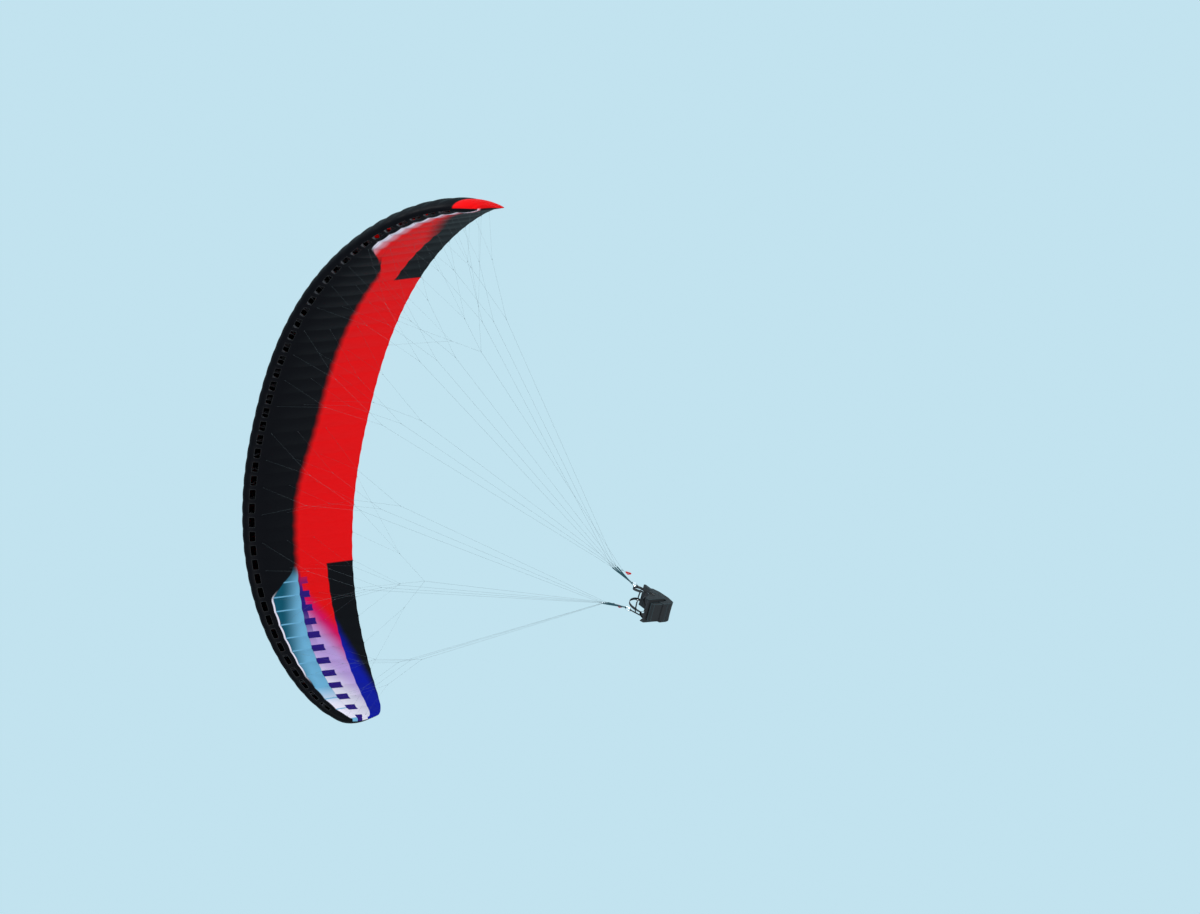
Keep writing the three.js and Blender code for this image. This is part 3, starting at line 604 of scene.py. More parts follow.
def wing_colour(tree, span, fore, under, from_rib):
    """Colours laid over each other from the nose back: black, the half's colours with their painted
    light, the wedge with a painted highlight line along its front, the rear band. The upper side is
    black and red with black tips."""
    s, is_left = sum_of(tree, "ABSOLUTE", span), sum_of(tree, "GREATER_THAN", span, 0.0)
    halves = zip(right_under(tree, s, fore, from_rib), left_under(tree, s, fore))
    zone, band, wedge = (blend(tree, is_left, right, left) for right, left in halves)
    right_nose, left_nose = stepped(tree, s, *NOSE_RIGHT), stepped(tree, s, *NOSE_LEFT)
    more = sum_of(tree, "SUBTRACT", left_nose, right_nose)
    behind = sum_of(tree, "SUBTRACT", fore, sum_of(tree, "MULTIPLY_ADD", is_left, more, right_nose))
    softness = stepped(tree, s, *NOSE_SOFTNESS)
    coloured = rise(tree, behind, sum_of(tree, "MULTIPLY", softness, -1.0), softness)
    rear_band = both(tree, rise(tree, fore, *BAND_FRONT), rise(tree, s, *BAND_START))
    wedge_span = sum_of(tree, "MULTIPLY_ADD", is_left, WEDGE_SHIFT, s)
    from_wedge = sum_of(tree, "SUBTRACT", fore, stepped(tree, wedge_span, *WEDGE_FRONT))
    in_wedge = both(tree, rise(tree, from_wedge, *WEDGE_SOFT), rise(tree, behind, *WEDGE_BACK),
                    rise(tree, wedge_span, *WEDGE_START))
    # A thin white line along the wedge's front: painted highlight.
    highlight_line = both(tree, rise(tree, sum_of(tree, "ABSOLUTE", from_wedge), *HIGHLIGHT_SIDE),
                     rise(tree, wedge_span, *HIGHLIGHT_START), rise(tree, s, *HIGHLIGHT_END))
    lower = upper = BLACK
    for mask, colour in ((coloured, zone), (in_wedge, wedge), (highlight_line, WHITE), (rear_band, band)):
        lower = blend(tree, mask, lower, colour)
    red_tip = both(tree, rise(tree, s, *RED_TIP), is_left)
    for mask, colour in ((rise(tree, behind, *UPPER_TO_RED), RED), (rear_band, BLACK),
                         (rise(tree, s, *UPPER_TIP), BLACK), (red_tip, RED)):
        upper = blend(tree, mask, upper, colour)
    return blend(tree, under, upper, lower)


print("Pattern ready")

# %% [markdown]
# ## Ripstop cloth
# The canopy is light nylon with thicker threads woven in as small squares. They, the seams at the
# ribs and slow folds are relief. Some light passes through such thin cloth, which a translucent share
# stands for.

# %% Ripstop cloth
RIPSTOP, RIPSTOP_WIDTH = 0.006, 0.0004      # pitch of the thicker threads, and how wide each shows
THREAD_HIGH, SEAM_HIGH, FOLD_HIGH, SEAM_SIDE = 0.0002, 0.0015, 0.006, (0.03, 0.0)
FOLD_SCALE = (14, 5, 1)          # folds for each metre of span and of chord
LIGHT_THROUGH = 0.3


def cloth_relief(tree, from_rib):
    """Height of ripstop threads, which cross in squares, of the seam at each rib, and of slow folds."""
    lay, *ways = lay_of(tree)
    threads = [rise(tree, sum_of(tree, "PINGPONG", way, RIPSTOP / 2), RIPSTOP_WIDTH, 0.0) for way in ways]
    relief = sum_of(tree, "MULTIPLY", sum_of(tree, "MAXIMUM", *threads), THREAD_HIGH)
    relief = sum_of(tree, "MULTIPLY_ADD", rise(tree, from_rib, *SEAM_SIDE), SEAM_HIGH, relief)
    stretched = add_node(tree, "Mapping", {"Vector": lay, "Scale": FOLD_SCALE}).outputs[0]
    folds = add_node(tree, "TexNoise", {"Vector": stretched, "Scale": 1.0, "Detail": 3.0}).outputs[0]
    return sum_of(tree, "MULTIPLY_ADD", folds, FOLD_HIGH, relief)


def cloth_material():
    """Pattern over span fraction and chord fraction, relief as bump, and light through the cloth."""
    material, tree, shader = new_material("ripstop_cloth", 0.5, Specular_IOR_Level=0.06)
    span, fore, under = (add_node(tree, "Attribute", attribute_name=key).outputs["Fac"]
                         for key in ("span", "chord", "under"))
    cell = sum_of(tree, "FRACT", sum_of(tree, "MULTIPLY", sum_of(tree, "ABSOLUTE", span), HALF_CELLS))
    from_rib = sum_of(tree, "MINIMUM", cell, sum_of(tree, "SUBTRACT", 1.0, cell))
    colour = wing_colour(tree, span, fore, under, from_rib)
    feed(tree, shader.inputs["Base Color"], colour)
    bump = emboss(tree, shader, cloth_relief(tree, from_rib), 0.6, 1.0)
    through = add_node(tree, "BsdfTranslucent", {"Color": colour, "Normal": bump}).outputs[0]
    mixed = add_node(tree, "MixShader", {0: LIGHT_THROUGH, 1: shader.outputs[0], 2: through}).outputs[0]
    feed(tree, tree.nodes["Material Output"].inputs["Surface"], mixed)
    return material


cloth = cloth_material()
print("Material", cloth.name)

# %% [markdown]
# ## Grids of the canopy
# Each run of cells is a grid over rib number and the outline of the aerofoil, from the upper rear
# round the nose to the lower rear. The faces of the air intakes are left out.

# %% Grids of the canopy
SPLIT = 0.61                     # chord fraction in front of which no cloth bends
CENTRE_END, TIP_START = 4, 20    # ribs between which the flaps lie on each side
MOUTH_FRONT, MOUTH_BACK, MOUTH_SIDE = 0.015, 0.05, 0.14
CLOSED_FROM = 22                 # the cells beyond this rib have no intake
TIP_SWELL, TIP_LEVELS = 0.7, 9   # how far the wing's end bulges, over its half thickness
CELL_STEPS = np.array([0, 0.07, MOUTH_SIDE, 0.26, 0.38, 0.5, 0.62, 0.74, 1 - MOUTH_SIDE, 0.93])
FRONT = np.concatenate([
    MOUTH_FRONT * np.linspace(0, 1, 5)[:-1] ** 2,
    np.linspace(MOUTH_FRONT, MOUTH_BACK, 4),
    MOUTH_BACK + (SPLIT - MOUTH_BACK) * np.linspace(0, 1, 17)[1:] ** 1.2,
])
REAR = SPLIT + (1 - SPLIT) * np.linspace(0, 1, 14)
WHOLE = np.concatenate([FRONT, REAR[1:]])


def ribs_between(first, last):
    """Rib numbers of the columns: the same steps in each cell, between two places."""
    numbers = (np.arange(math.floor(first), math.ceil(last))[:, None] + CELL_STEPS).ravel()
    inside = numbers[(numbers > first) & (numbers < last)]
    return np.concatenate([[first], inside, [last]])


def cloth_part(ribs, x, side, closed=False):
    """Grid of skin points for columns of ribs and an outline of chord fractions with their sides,
    its UV in metres along the span and the chord, and no faces where an air intake is."""
    rib_grid = np.repeat(ribs[:, None], len(x), axis=1)
    x_grid, side_grid = (np.repeat(values[None], len(ribs), axis=0) for values in (x, side))
    points = skin(rib_grid, x_grid, side_grid)
    uv = np.stack([rib_grid * RIB_PITCH, x_grid * chord(np.minimum(1, np.abs(rib_grid) / HALF_CELLS))], -1)
    if closed:
        uv = np.concatenate([uv, uv[:, :1]], axis=1)
    middle_rib = (ribs[1:] + ribs[:-1]) / 2
    in_cell = np.abs(middle_rib % 1 - 0.5) < 0.5 - MOUTH_SIDE
    with_intake = in_cell & (np.abs(middle_rib) < CLOSED_FROM)
    middle_x, middle_side = (x[1:] + x[:-1]) / 2, (side[1:] + side[:-1]) / 2
    in_mouth = (middle_side < 0) & (middle_x > MOUTH_FRONT) & (middle_x < MOUTH_BACK)
    if closed:
        in_mouth = np.append(in_mouth, False)
    keep = ~(with_intake[:, None] & in_mouth[None])
    part = grid(points, close_cols=closed, uv=uv, keep=keep)
    maps = {"span": rib_grid / HALF_CELLS, "chord": x_grid, "under": (side_grid < 0) * 1.0}
    return part, maps


def tip_cap(hand):
    """Rounded end of the wing: over chord and height inside the last rib, moved outwards by the root of
    one less the height share squared."""
    levels = np.cos(np.linspace(0, np.pi, TIP_LEVELS))
    x, level = np.meshgrid(WHOLE[::-1], levels, indexing="ij")
    rib = hand * HALF_CELLS
    half = np.linalg.norm(skin(rib, x, 1) - skin(rib, x, 0), axis=-1)
    bulge = (TIP_SWELL * half * np.sqrt(1 - level ** 2))[..., None] * outwards_at(rib)
    points = skin(rib, x, level) + bulge
    if hand > 0:
        points, x, level = (values[:, ::-1] for values in (points, x, level))
    uv = np.stack([np.full(x.shape, HALF_SPAN) + level * half, x * chord(1.0)], axis=-1)
    maps = {"span": np.full(x.shape, float(hand)), "chord": x, "under": (level < 0) * 1.0}
    return grid(points, uv=uv), maps


print("Columns in each cell:", len(CELL_STEPS))

# %% [markdown]
# ## Wall of the cloth
# A thin Solidify gives the cloth its two sides.

# %% Wall of the cloth
CLOTH = 0.0012


def mark_open_edges(made):
    """Edges with one face are sharp, so that the wall's rim doesn't bend the shading beside it."""
    mesh = made.data
    used = np.zeros(len(mesh.loops), np.int32)
    mesh.loops.foreach_get("edge_index", used)
    sharp = mesh.attributes.get("sharp_edge") or mesh.attributes.new("sharp_edge", "BOOLEAN", "EDGE")
    flags = np.zeros(len(mesh.edges), bool)
    sharp.data.foreach_get("value", flags)
    sharp.data.foreach_set("value", flags | (np.bincount(used, minlength=len(mesh.edges)) == 1))


def weld(made, distance=0.00005):
    """Merges points that lie in one place, as at poles and where two parts meet."""
    shape = bmesh.new()
    shape.from_mesh(made.data)
    bmesh.ops.remove_doubles(shape, verts=shape.verts, dist=distance)
    shape.to_mesh(made.data)
    shape.free()


def thicken(made, thickness, offset=-1.0):
    """Wall of a thickness, inwards from the surface, or with offset 0 half of it to each side."""
    wall = made.modifiers.new("cloth", "SOLIDIFY")
    wall.thickness = thickness
    wall.offset = offset


def cloth_piece(name, ribs, x, side, body, slot, sewn_to, closed=False, cap=0):
    """Cloth of one run, facing outwards, with a thin wall inwards. cap is the hand of a tip."""
    runs = [cloth_part(ribs, x, side, closed)]
    if cap:
        runs.append(tip_cap(cap))
    maps = {key: np.concatenate([found[key].ravel() for _, found in runs]) for key in runs[0][1]}
    made = piece(name, [part for part, _ in runs], cloth, body, smooth_angle=80, maps=maps)
    weld(made)
    mark_open_edges(made)
    thicken(made, CLOTH)
    return made


print("Cloth", 1000 * CLOTH, "mm thick")

# %% [markdown]
# ## Canopy cloth
# Cloth in front of the split line stays with the canopy. Behind it, the cloth over the brake flaps
# comes later.

# %% Canopy cloth


def round_nose(x):
    """Chord fractions and sides from the upper rear round the nose to the lower rear."""
    sides = np.concatenate([np.ones(len(x)), -np.ones(len(x) - 1)])
    return np.concatenate([x[::-1], x[1:]]), sides


inside = ["cell_ribs"]
centre = cloth_piece("centre_cloth", ribs_between(-CENTRE_END, CENTRE_END), *round_nose(WHOLE),
                     "canopy", "cloth_black", inside, closed=True)
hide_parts("centre_cells")
for word, hand in SIDES:
    tip = cloth_piece(f"tip_cloth_{word}", hand * ribs_between(TIP_START, HALF_CELLS)[::hand],
                      *round_nose(WHOLE), "canopy", "cloth_black", inside, closed=True, cap=hand)
    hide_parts(f"tip_cells_{word}")
    front = cloth_piece(f"front_cloth_{word}", hand * ribs_between(CENTRE_END, TIP_START)[::hand],
                        *round_nose(FRONT), "canopy", "cloth_black", inside)
    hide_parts(f"mid_cells_{word}")

# %% [markdown]
# ## Cloth over the brake flaps
# Pulling a brake bends the rear of the canopy down. Behind the split line the cloth is made in runs
# over each flap. For each run a bend line is worked out, square to the split line across the flap, or
# at the two ends, where a run meets cloth that stays, a slanting line whose share of the flap's motion
# is the main run's plus a steady fall along the span, so both edges would still meet their
# neighbours. The runs ride on no body, and the cloth is not bent along these lines.

# %% Cloth over the brake flaps
BEND_END = 0.80
CORNER_RIBS = 1.5
FLAPS = [
    # name, first rib, last rib, whether the first and the last end meet cloth that stays
    ("inner_flap", CENTRE_END, 10, True, False),
    ("middle_flap", 10, 16, False, False),
    ("outer_flap", 16, TIP_START, False, True),
]


def main_fold(first, last):
    """Start and end of the bend across a flap: square to the split line, as far as the bend's end."""
    near, far = skin(first, SPLIT, -1), skin(last, SPLIT, -1)
    start = (near + far) / 2
    along = unit(far - near)
    reach = skin((first + last) / 2, BEND_END, -1) - start
    return start, start + reach - (reach @ along) * along


def corner_fold(first, last, free, fixed):
    """The main fold's share plus a fall along the span from the free rib, so that the share is
    nothing at the fixed rib's trailing edge. Both are linear, so their sum is one fold too."""
    start, end = main_fold(first, last)
    gradient = (end - start) / ((end - start) @ (end - start))
    plane = skin(free, REFERENCE, -1)
    outward = outwards_at(free)
    corner = skin(fixed, 1.0, -1)
    fall = -(gradient @ (corner - start)) / (outward @ (corner - plane))
    whole = gradient + fall * outward
    level = gradient @ start + fall * (outward @ plane)
    begin = whole * level / (whole @ whole)
    return begin, begin + whole / (whole @ whole)


rear_x = np.concatenate([REAR, REAR[-2::-1]])
rear_side = np.concatenate([-np.ones(len(REAR)), np.ones(len(REAR) - 1)])
for word, hand in SIDES:
    for name, first, last, fixed_first, fixed_last in FLAPS:
        whole = hand * first, hand * last
        inner_end = first + CORNER_RIBS if fixed_first else first
        outer_end = last - CORNER_RIBS if fixed_last else last
        runs = [("cloth", inner_end, outer_end, main_fold(*whole))]
        if fixed_first:
            fold = corner_fold(*whole, hand * inner_end, hand * first)
            runs.insert(0, ("corner", first, inner_end, fold))
        if fixed_last:
            fold = corner_fold(*whole, hand * outer_end, hand * last)
            runs.append(("corner", outer_end, last, fold))
        for kind, low, high, (start, end) in runs:
            made = cloth_piece(f"{name}_{kind}_{word}", hand * ribs_between(low, high)[::hand],
                               rear_x, rear_side, None, "cloth_red", [f"front_cloth_{word}"])
            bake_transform(made)
            if kind == "cloth":
                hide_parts(f"{name}_{word}")
print("Flap cloth:", len(FLAPS) * 2, "flaps")

# %% [markdown]
# ## Ribs inside the cells
# Every cell wall is a rib of stiff cloth with oval ports, through which air passes sideways. They
# show through the intakes. A rib is cut into three bays, and each bay is a surface between its port
# and its square outline, laid between the lower and the upper skin.

# %% Ribs inside the cells
RIB_BAYS = [(0.05, 0.15), (0.15, 0.34), (0.34, 0.6)]
PORT = 0.62                      # size of a port over its bay
RIB_TUCK, RIB_THICK = 0.003, 0.0006
PORT_SIDES, BAY_SHARES = 32, (0, 0.4, 1)
WEAVE_SCALE = 700.0              # threads for each metre


def plain_material(name, colour):
    """Material of one colour with a fine weave as bump, over the piece's own place."""
    material, tree, shader = new_material(name, 0.6, Base_Color=(*colour, 1))
    place = add_node(tree, "TexCoord").outputs["Object"]
    weave = add_node(tree, "TexVoronoi", {"Vector": place, "Scale": WEAVE_SCALE}).outputs["Distance"]
    emboss(tree, shader, weave, 0.25, 0.0006)
    return material


def rib_bay(rib, start, end):
    """Bay of a rib: over angle and share, from the port's oval to the square around it. Across is a
    chord fraction and up is the side between the skins."""
    turn = np.linspace(0, 2 * np.pi, PORT_SIDES, endpoint=False)
    angle, share = np.meshgrid(turn, BAY_SHARES, indexing="ij")
    oval = np.stack([np.cos(angle), np.sin(angle)], axis=-1)
    square = np.clip(math.sqrt(2) * oval, -1, 1)
    place = PORT * oval * (1 - share)[..., None] + square * share[..., None]
    x = (start + end) / 2 + (end - start) / 2 * place[..., 0]
    points = skin(rib, x, place[..., 1], inset=RIB_TUCK)
    return grid(points.swapaxes(0, 1), close_cols=True)


rib_cloth = plain_material("rib_cloth", (0.12, 0.13, 0.15))
bays = [rib_bay(rib, *bay) for rib in range(1 - CLOSED_FROM, CLOSED_FROM) for bay in RIB_BAYS]
ribs = piece("cell_ribs", bays, rib_cloth, "canopy", smooth_angle=80)
thicken(ribs, RIB_THICK, offset=0)
print("Ribs:", 2 * CLOSED_FROM - 1, "with", len(bays), "ports")

# %% [markdown]
# ## Binding round the air intakes
# The cut edge of each intake is bound with a narrow tape, which stops it from fraying and helps to
# hold it open. A bevelled curve would do, but it would have to be fitted to the nose by eye. Here a
# thin tube is swept along a rounded rectangle whose points are worked out on the lower skin itself.

# %% Binding round the air intakes
BINDING = 0.0022
BINDING_ROUND = 0.08             # corner of an intake's outline, over the intake's width and height
BINDING_STEPS = 4                # points on each corner, and on each stretch between two of them


def intake_binding(cell):
    """Bound edge of one intake: a rounded rectangle over share across and share back, on the lower skin."""
    outline = rounded([(0, 0), (1, 0), (1, 1), (0, 1)], BINDING_ROUND, BINDING_STEPS)
    shares = np.vstack([np.linspace(first, second, BINDING_STEPS)[:-1]
                        for first, second in zip(outline, np.roll(outline, -1, axis=0))])
    rib = cell + MOUTH_SIDE + (1 - 2 * MOUTH_SIDE) * shares[:, 0]
    x = MOUTH_FRONT + (MOUTH_BACK - MOUTH_FRONT) * shares[:, 1]
    return sweep(skin(rib, x, -1), circle(BINDING, 6), [0, 0.3, 1], closed=True)


binding_cloth = plain_material("intake_tape", (0.01, 0.01, 0.012))
binding = [intake_binding(cell) for cell in range(-CLOSED_FROM, CLOSED_FROM)]
piece("intake_binding", binding, binding_cloth, "canopy", smooth_angle=80)
print("Air intakes:", len(binding))

# %% [markdown]
# ## Places on the risers
# The lines start at steel links on the risers, which lean outwards over the carabiners. Every part
# there is given by its place beside the left carabiner.

# %% Places on the risers
HANG = np.array([0.21, -0.09, -7.85])         # centre of the left carabiner
RISER_TOP, RISER_LEAN, LEAN_START = 0.47, math.radians(14), 0.064
LINK_HALF = (0.01, 0.015)                     # link from its centre to the middle of its rod
LINK_ROD = 0.002
LINK_CENTRE = RISER_TOP - 0.005 + LINK_HALF[1] + LINK_ROD
LINK_TOP = LINK_CENTRE + LINK_HALF[1] + LINK_ROD


def point_from(origin, x, y, z):
    """Point given from an origin, or an array of them where a coordinate is an array."""
    return np.stack(np.broadcast_arrays(origin[0] + x, origin[1] + y, origin[2] + z), axis=-1)


def riser_point(y, z, across=0.0):
    """Point beside the left carabiner, given over its centre. Over the start of the lean it moves
    out by the lean's tangent."""
    lean = math.tan(RISER_LEAN) * np.maximum(0, np.asarray(z, float) - LEAN_START)
    return point_from((HANG[0] + lean, *HANG[1:]), across, y, z)


def toward(start, end, distance):
    """Point at a distance from one end of the way to the other."""
    return start + unit(end - start) * distance


print("Riser top at", riser_point(0, RISER_TOP).round(2))

# %% [markdown]
# ## Suspension lines
# Three rows of lines hang from tabs sewn to the lower skin at every second rib. Each main line forks
# twice on its way up, and every fork is a sewn sleeve. All are straight, because they are taut, so
# each is a thin swept tube between the two points that the frame gives it.

# %% Suspension lines
MAIN_SHARE, MIDDLE_SHARE = 0.7, 0.55          # how far up each fork lies
ROWS = [("A", 0.1, -0.052), ("B", 0.33, 0.0), ("C", 0.6, 0.058)]     # name, chord fraction, riser's y
LINE_GROUPS = [(1, (1, 3, 5, 7)), (2, (9, 11, 13, 15)), (3, (17, 19, 21, 22.8))]     # number, ribs held
LINE_SPREAD = 0.004                           # between the three lines on one link
MAIN_LINE, MIDDLE_LINE, TOP_LINE = 0.0011, 0.0009, 0.0007
SLEEVE, SLEEVE_HALF = 0.0036, 0.013
SLEEVE_TAPER = np.array([(-1, 0.45), (-0.85, 0.8), (-0.6, 1), (0.6, 1), (0.85, 0.8), (1, 0.45)])
LINK_LOOP, SPLICE = 0.0031, 0.055             # loop round a link's rod, and the splice above it
TAB, TAB_ROOT, TAB_SPLICE = 0.016, 0.004, 0.03
BRAID_PITCH, BRAID_TURN = 3500.0, 1800.0      # radians for each metre along and round a line


def line_material():
    """Braided sheath: two crossing waves of bump along and round the line."""
    material, tree, shader = new_material("braided_sheath", 0.6, Base_Color=(0.08, 0.1, 0.11, 1))
    _, along, round_it = lay_of(tree)
    turns = [sum_of(tree, "MULTIPLY", round_it, turn) for turn in (BRAID_TURN, -BRAID_TURN)]
    waves = [sum_of(tree, "SINE", sum_of(tree, "MULTIPLY_ADD", along, BRAID_PITCH, turn)) for turn in turns]
    emboss(tree, shader, sum_of(tree, "MAXIMUM", *waves), 0.4, 0.0002)
    return material


def sleeve(start, at):
    """Sewn sleeve round a fork: a tube with narrowed ends along the line from below."""
    steps, scale = SLEEVE_TAPER.T
    path = at + unit(at - start) * (steps * SLEEVE_HALF)[:, None]
    return sweep(path, circle(SLEEVE), [0, 1, 0.01], scale=scale)


def foot_tab(foot, fork):
    """Flat tape that comes out of the seam along the line, and the line's spliced end under it."""
    tape = [toward(foot, fork, at) for at in (-TAB_ROOT, TAB)]
    splice = [toward(foot, fork, at) for at in (TAB - TAB_ROOT, TAB + TAB_SPLICE)]
    return [sweep(tape, strap_profile(0.009, 0.001), [0, 1, 0]), rod(*splice, 2 * TOP_LINE)]


def branches(fork, feet):
    """Line from each foot's tab down to a fork."""
    parts = []
    for foot in feet:
        parts += [rod(toward(fork, foot, SLEEVE_HALF / 2), toward(foot, fork, TAB - 0.003), TOP_LINE, 6)]
        parts += foot_tab(foot, fork)
    return parts


def line_parts(x, riser_y, number, ribs):
    """One main line with its looped and spliced foot, its two forks and its four upper lines."""
    beside = (number - 2) * LINE_SPREAD
    start = riser_point(riser_y, LINK_TOP + 0.0007, beside)
    feet = skin(np.array(ribs), x, -1)
    fork = start + (feet.mean(axis=0) - start) * MAIN_SHARE
    loop = ring_path(riser_point(riser_y, LINK_TOP - LINK_ROD, beside),
                     [0, LINK_LOOP, 0], [0, 0, LINK_LOOP], 14)
    parts = [rod(start, fork, MAIN_LINE), sleeve(start, fork),
             sweep(loop, circle(MAIN_LINE, 6), [1, 0, 0], closed=True),
             rod(start, toward(start, fork, SPLICE), 1.6 * MAIN_LINE)]
    for pair in (feet[:2], feet[2:]):
        branch = fork + (pair.mean(axis=0) - fork) * MIDDLE_SHARE
        parts += [rod(fork, branch, MIDDLE_LINE), sleeve(fork, branch), *branches(branch, pair)]
    return parts


sheath = line_material()
for word, hand in SIDES:
    for row, x, riser_y in ROWS:
        for number, ribs_held in LINE_GROUPS:
            made = piece(f"suspension_{row}{number}_{word}", line_parts(x, riser_y, number, ribs_held),
                         sheath, "canopy", hand)
            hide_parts(f"line_{row}{number}_{word}")
print("Suspension lines:", 2 * len(ROWS) * len(LINE_GROUPS), "trees")

# %% [markdown]
# ## Brake lines
# The brake line leaves the pulley on the rear riser and fans out to the trailing edge. A short cord
# hangs under the pulley, with the toggle at its lower end.

# %% Brake lines
PULLEY_Y, PULLEY_Z, PULLEY_RADIUS = 0.105, 0.38, 0.009
BRAKE_FORK_SHARE, BRAKE_FAN_SHARE = 0.72, 0.35
BRAKE_FANS = [(1, (5, 7, 9), "inner_flap"), (2, (11, 13, 15), "middle_flap"), (3, (17, 19), "outer_flap")]
GAP = 0.0003                     # room between two solids that are made to lie on each other
CORD_TOP = riser_point(PULLEY_Y, PULLEY_Z - PULLEY_RADIUS - GAP)
CORD_FOOT = CORD_TOP - [0, 0, 0.06]
CORD_RADIUS, CORD_SIDES = 0.002, 8
SHEAVE_LINE = 0.0085             # how far the line's middle lies from the sheave's
BRAKE_TAB, BRAKE_LINE_END = 0.022, 0.02


def cut_rod(start, end, radius, sides=6):
    """Straight tube in 24 steps."""
    path = start + np.linspace(0, 1, 25)[:, None] * (end - start)
    return sweep(path, circle(radius, sides), np.cross(end - start, [0, 1, 0]))


def brake_foot(rib):
    """Place on the trailing edge where a brake line is tied."""
    return skin(np.array(rib), 1.0, -1)


def round_sheave():
    """Half turn of the line round the pulley's sheave, on its rear side."""
    turn = np.linspace(np.pi / 2, -np.pi / 2, 16)
    path = riser_point(PULLEY_Y + SHEAVE_LINE * np.cos(turn), PULLEY_Z + SHEAVE_LINE * np.sin(turn))
    return sweep(path, circle(0.0016), [1, 0, 0])


brake_start = riser_point(PULLEY_Y, PULLEY_Z + PULLEY_RADIUS + 0.0007)
every_foot = np.concatenate([brake_foot(held) for _, held, _ in BRAKE_FANS])
brake_fork = brake_start + (every_foot.mean(axis=0) - brake_start) * BRAKE_FORK_SHARE
for word, hand in SIDES:
    parts = [rod(toward(brake_start, brake_fork, -0.002), brake_fork, MAIN_LINE),
             sleeve(brake_start, brake_fork), round_sheave()]
    made = piece(f"brake_line_{word}", parts, sheath, "canopy", hand)
    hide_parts(f"brake_main_line_{word}")
    for number, held, flap in BRAKE_FANS:
        feet = brake_foot(held)
        middle = feet.mean(axis=0)
        branch = brake_fork + (middle - brake_fork) * BRAKE_FAN_SHARE
        near = toward(brake_fork, branch, SLEEVE_HALF + 0.003)
        parts = [cut_rod(near, branch, MIDDLE_LINE), sleeve(near, branch)]
        for foot in feet:
            parts.append(cut_rod(branch, toward(foot, branch, BRAKE_LINE_END), TOP_LINE))
            tape = [toward(foot, branch, at) for at in (-TAB_ROOT, BRAKE_TAB)]
            parts.append(sweep(tape, strap_profile(0.008, 0.001), [1, 0, 0]))
        made = piece(f"brake_branch_{number}_{word}", parts, sheath, None, hand)
        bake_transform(made)
        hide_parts(f"brake_fan_{number}_{word}")
    cord_parts = [cut_rod(CORD_FOOT, CORD_TOP + [0, 0, 0.001], CORD_RADIUS, CORD_SIDES)]
    cord = piece(f"brake_end_{word}", cord_parts, sheath, None, hand)
    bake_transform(cord)
    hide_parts(f"brake_cord_{word}")
print("Brake fork at", brake_fork.round(2))

# %% [markdown]
# ## Webbing, metal and stitches
# Risers and harness straps are woven polyester. The weave is a bump that follows each strap, and
# sewn places show rows of light thread, which are real raised stitches so that they catch the light.

# %% Webbing, metal and stitches
WEB_WIDTH, WEB_THICK = 0.022, 0.003
WEB = strap_profile(WEB_WIDTH, WEB_THICK)
STITCH, STITCH_GAP, THREAD = 0.0036, 0.0016, 0.0005
TWILL_PITCH, TWILL_LEAN, TWILL_TURN = 3000.0, 2400.0, 0.005    # radians for each metre, and metres


def webbing_material(name, colour):
    """Twill as bump: a wave along the strap, shifted by how far across it lies, there and back."""
    material, tree, shader = new_material(name, 0.75, Base_Color=(*colour, 1), Specular_IOR_Level=0.3)
    _, along, across = lay_of(tree)
    lean = sum_of(tree, "MULTIPLY", sum_of(tree, "PINGPONG", across, TWILL_TURN), TWILL_LEAN)
    twill = sum_of(tree, "SINE", sum_of(tree, "MULTIPLY_ADD", along, TWILL_PITCH, lean))
    emboss(tree, shader, twill, 0.35, 0.0003)
    return material


def metal_material(name, colour, roughness):
    """Anodised or polished metal with faint uneven polish."""
    material, tree, shader = new_material(name, roughness, Base_Color=(*colour, 1), Metallic=1.0)
    place = add_node(tree, "TexCoord").outputs["Object"]
    patches = add_node(tree, "TexNoise", {"Vector": place, "Scale": 160.0, "Detail": 4.0}).outputs[0]
    emboss(tree, shader, patches, 0.12, 0.0005)
    return material


def stitch_row(start, end, lift):
    """Row of short raised stitches from one point to another, lifted off the strap."""
    start, end, lift = (np.asarray(value, float) for value in (start, end, lift))
    direction = unit(end - start)
    begins = np.arange(0, np.linalg.norm(end - start) - STITCH, STITCH + STITCH_GAP)
    return [sweep(start + lift + direction * np.array([[at], [at + STITCH / 2], [at + STITCH]]),
                  circle(THREAD, 4), np.cross(direction, lift), scale=[0.5, 1, 0.5]) for at in begins]


def box_stitch(bottom, top, across, half, lift):
    """Sewn box with a cross in it, between two points of a strap's middle, on its outer face."""
    across = np.asarray(across, float) * half
    low, high = (bottom - across, bottom + across), (top - across, top + across)
    ends = [(low[0], low[1]), (low[1], high[1]), (high[1], high[0]), (high[0], low[0]),
            (low[0], high[1]), (low[1], high[0])]
    return [row for start, end in ends for row in stitch_row(start, end, lift)]


thread = plain_material("light_thread", (0.55, 0.58, 0.58))
riser_web = webbing_material("riser_webbing", (0.012, 0.055, 0.07))
harness_web = webbing_material("harness_webbing", (0.012, 0.012, 0.014))
steel = metal_material("link_steel", (0.56, 0.57, 0.58), 0.22)
alloy = metal_material("grey_alloy", (0.36, 0.38, 0.4), 0.32)
print("Webbing, metal and thread ready")

# %% [markdown]
# ## Risers
# Each riser is three straps of webbing that are sewn together under the split and pass round the
# carabiner. A steel link joins each strap's top to its lines, and the rear strap carries the brake
# pulley. Everything is laid out beside the carabiner's centre and then leaned outwards.

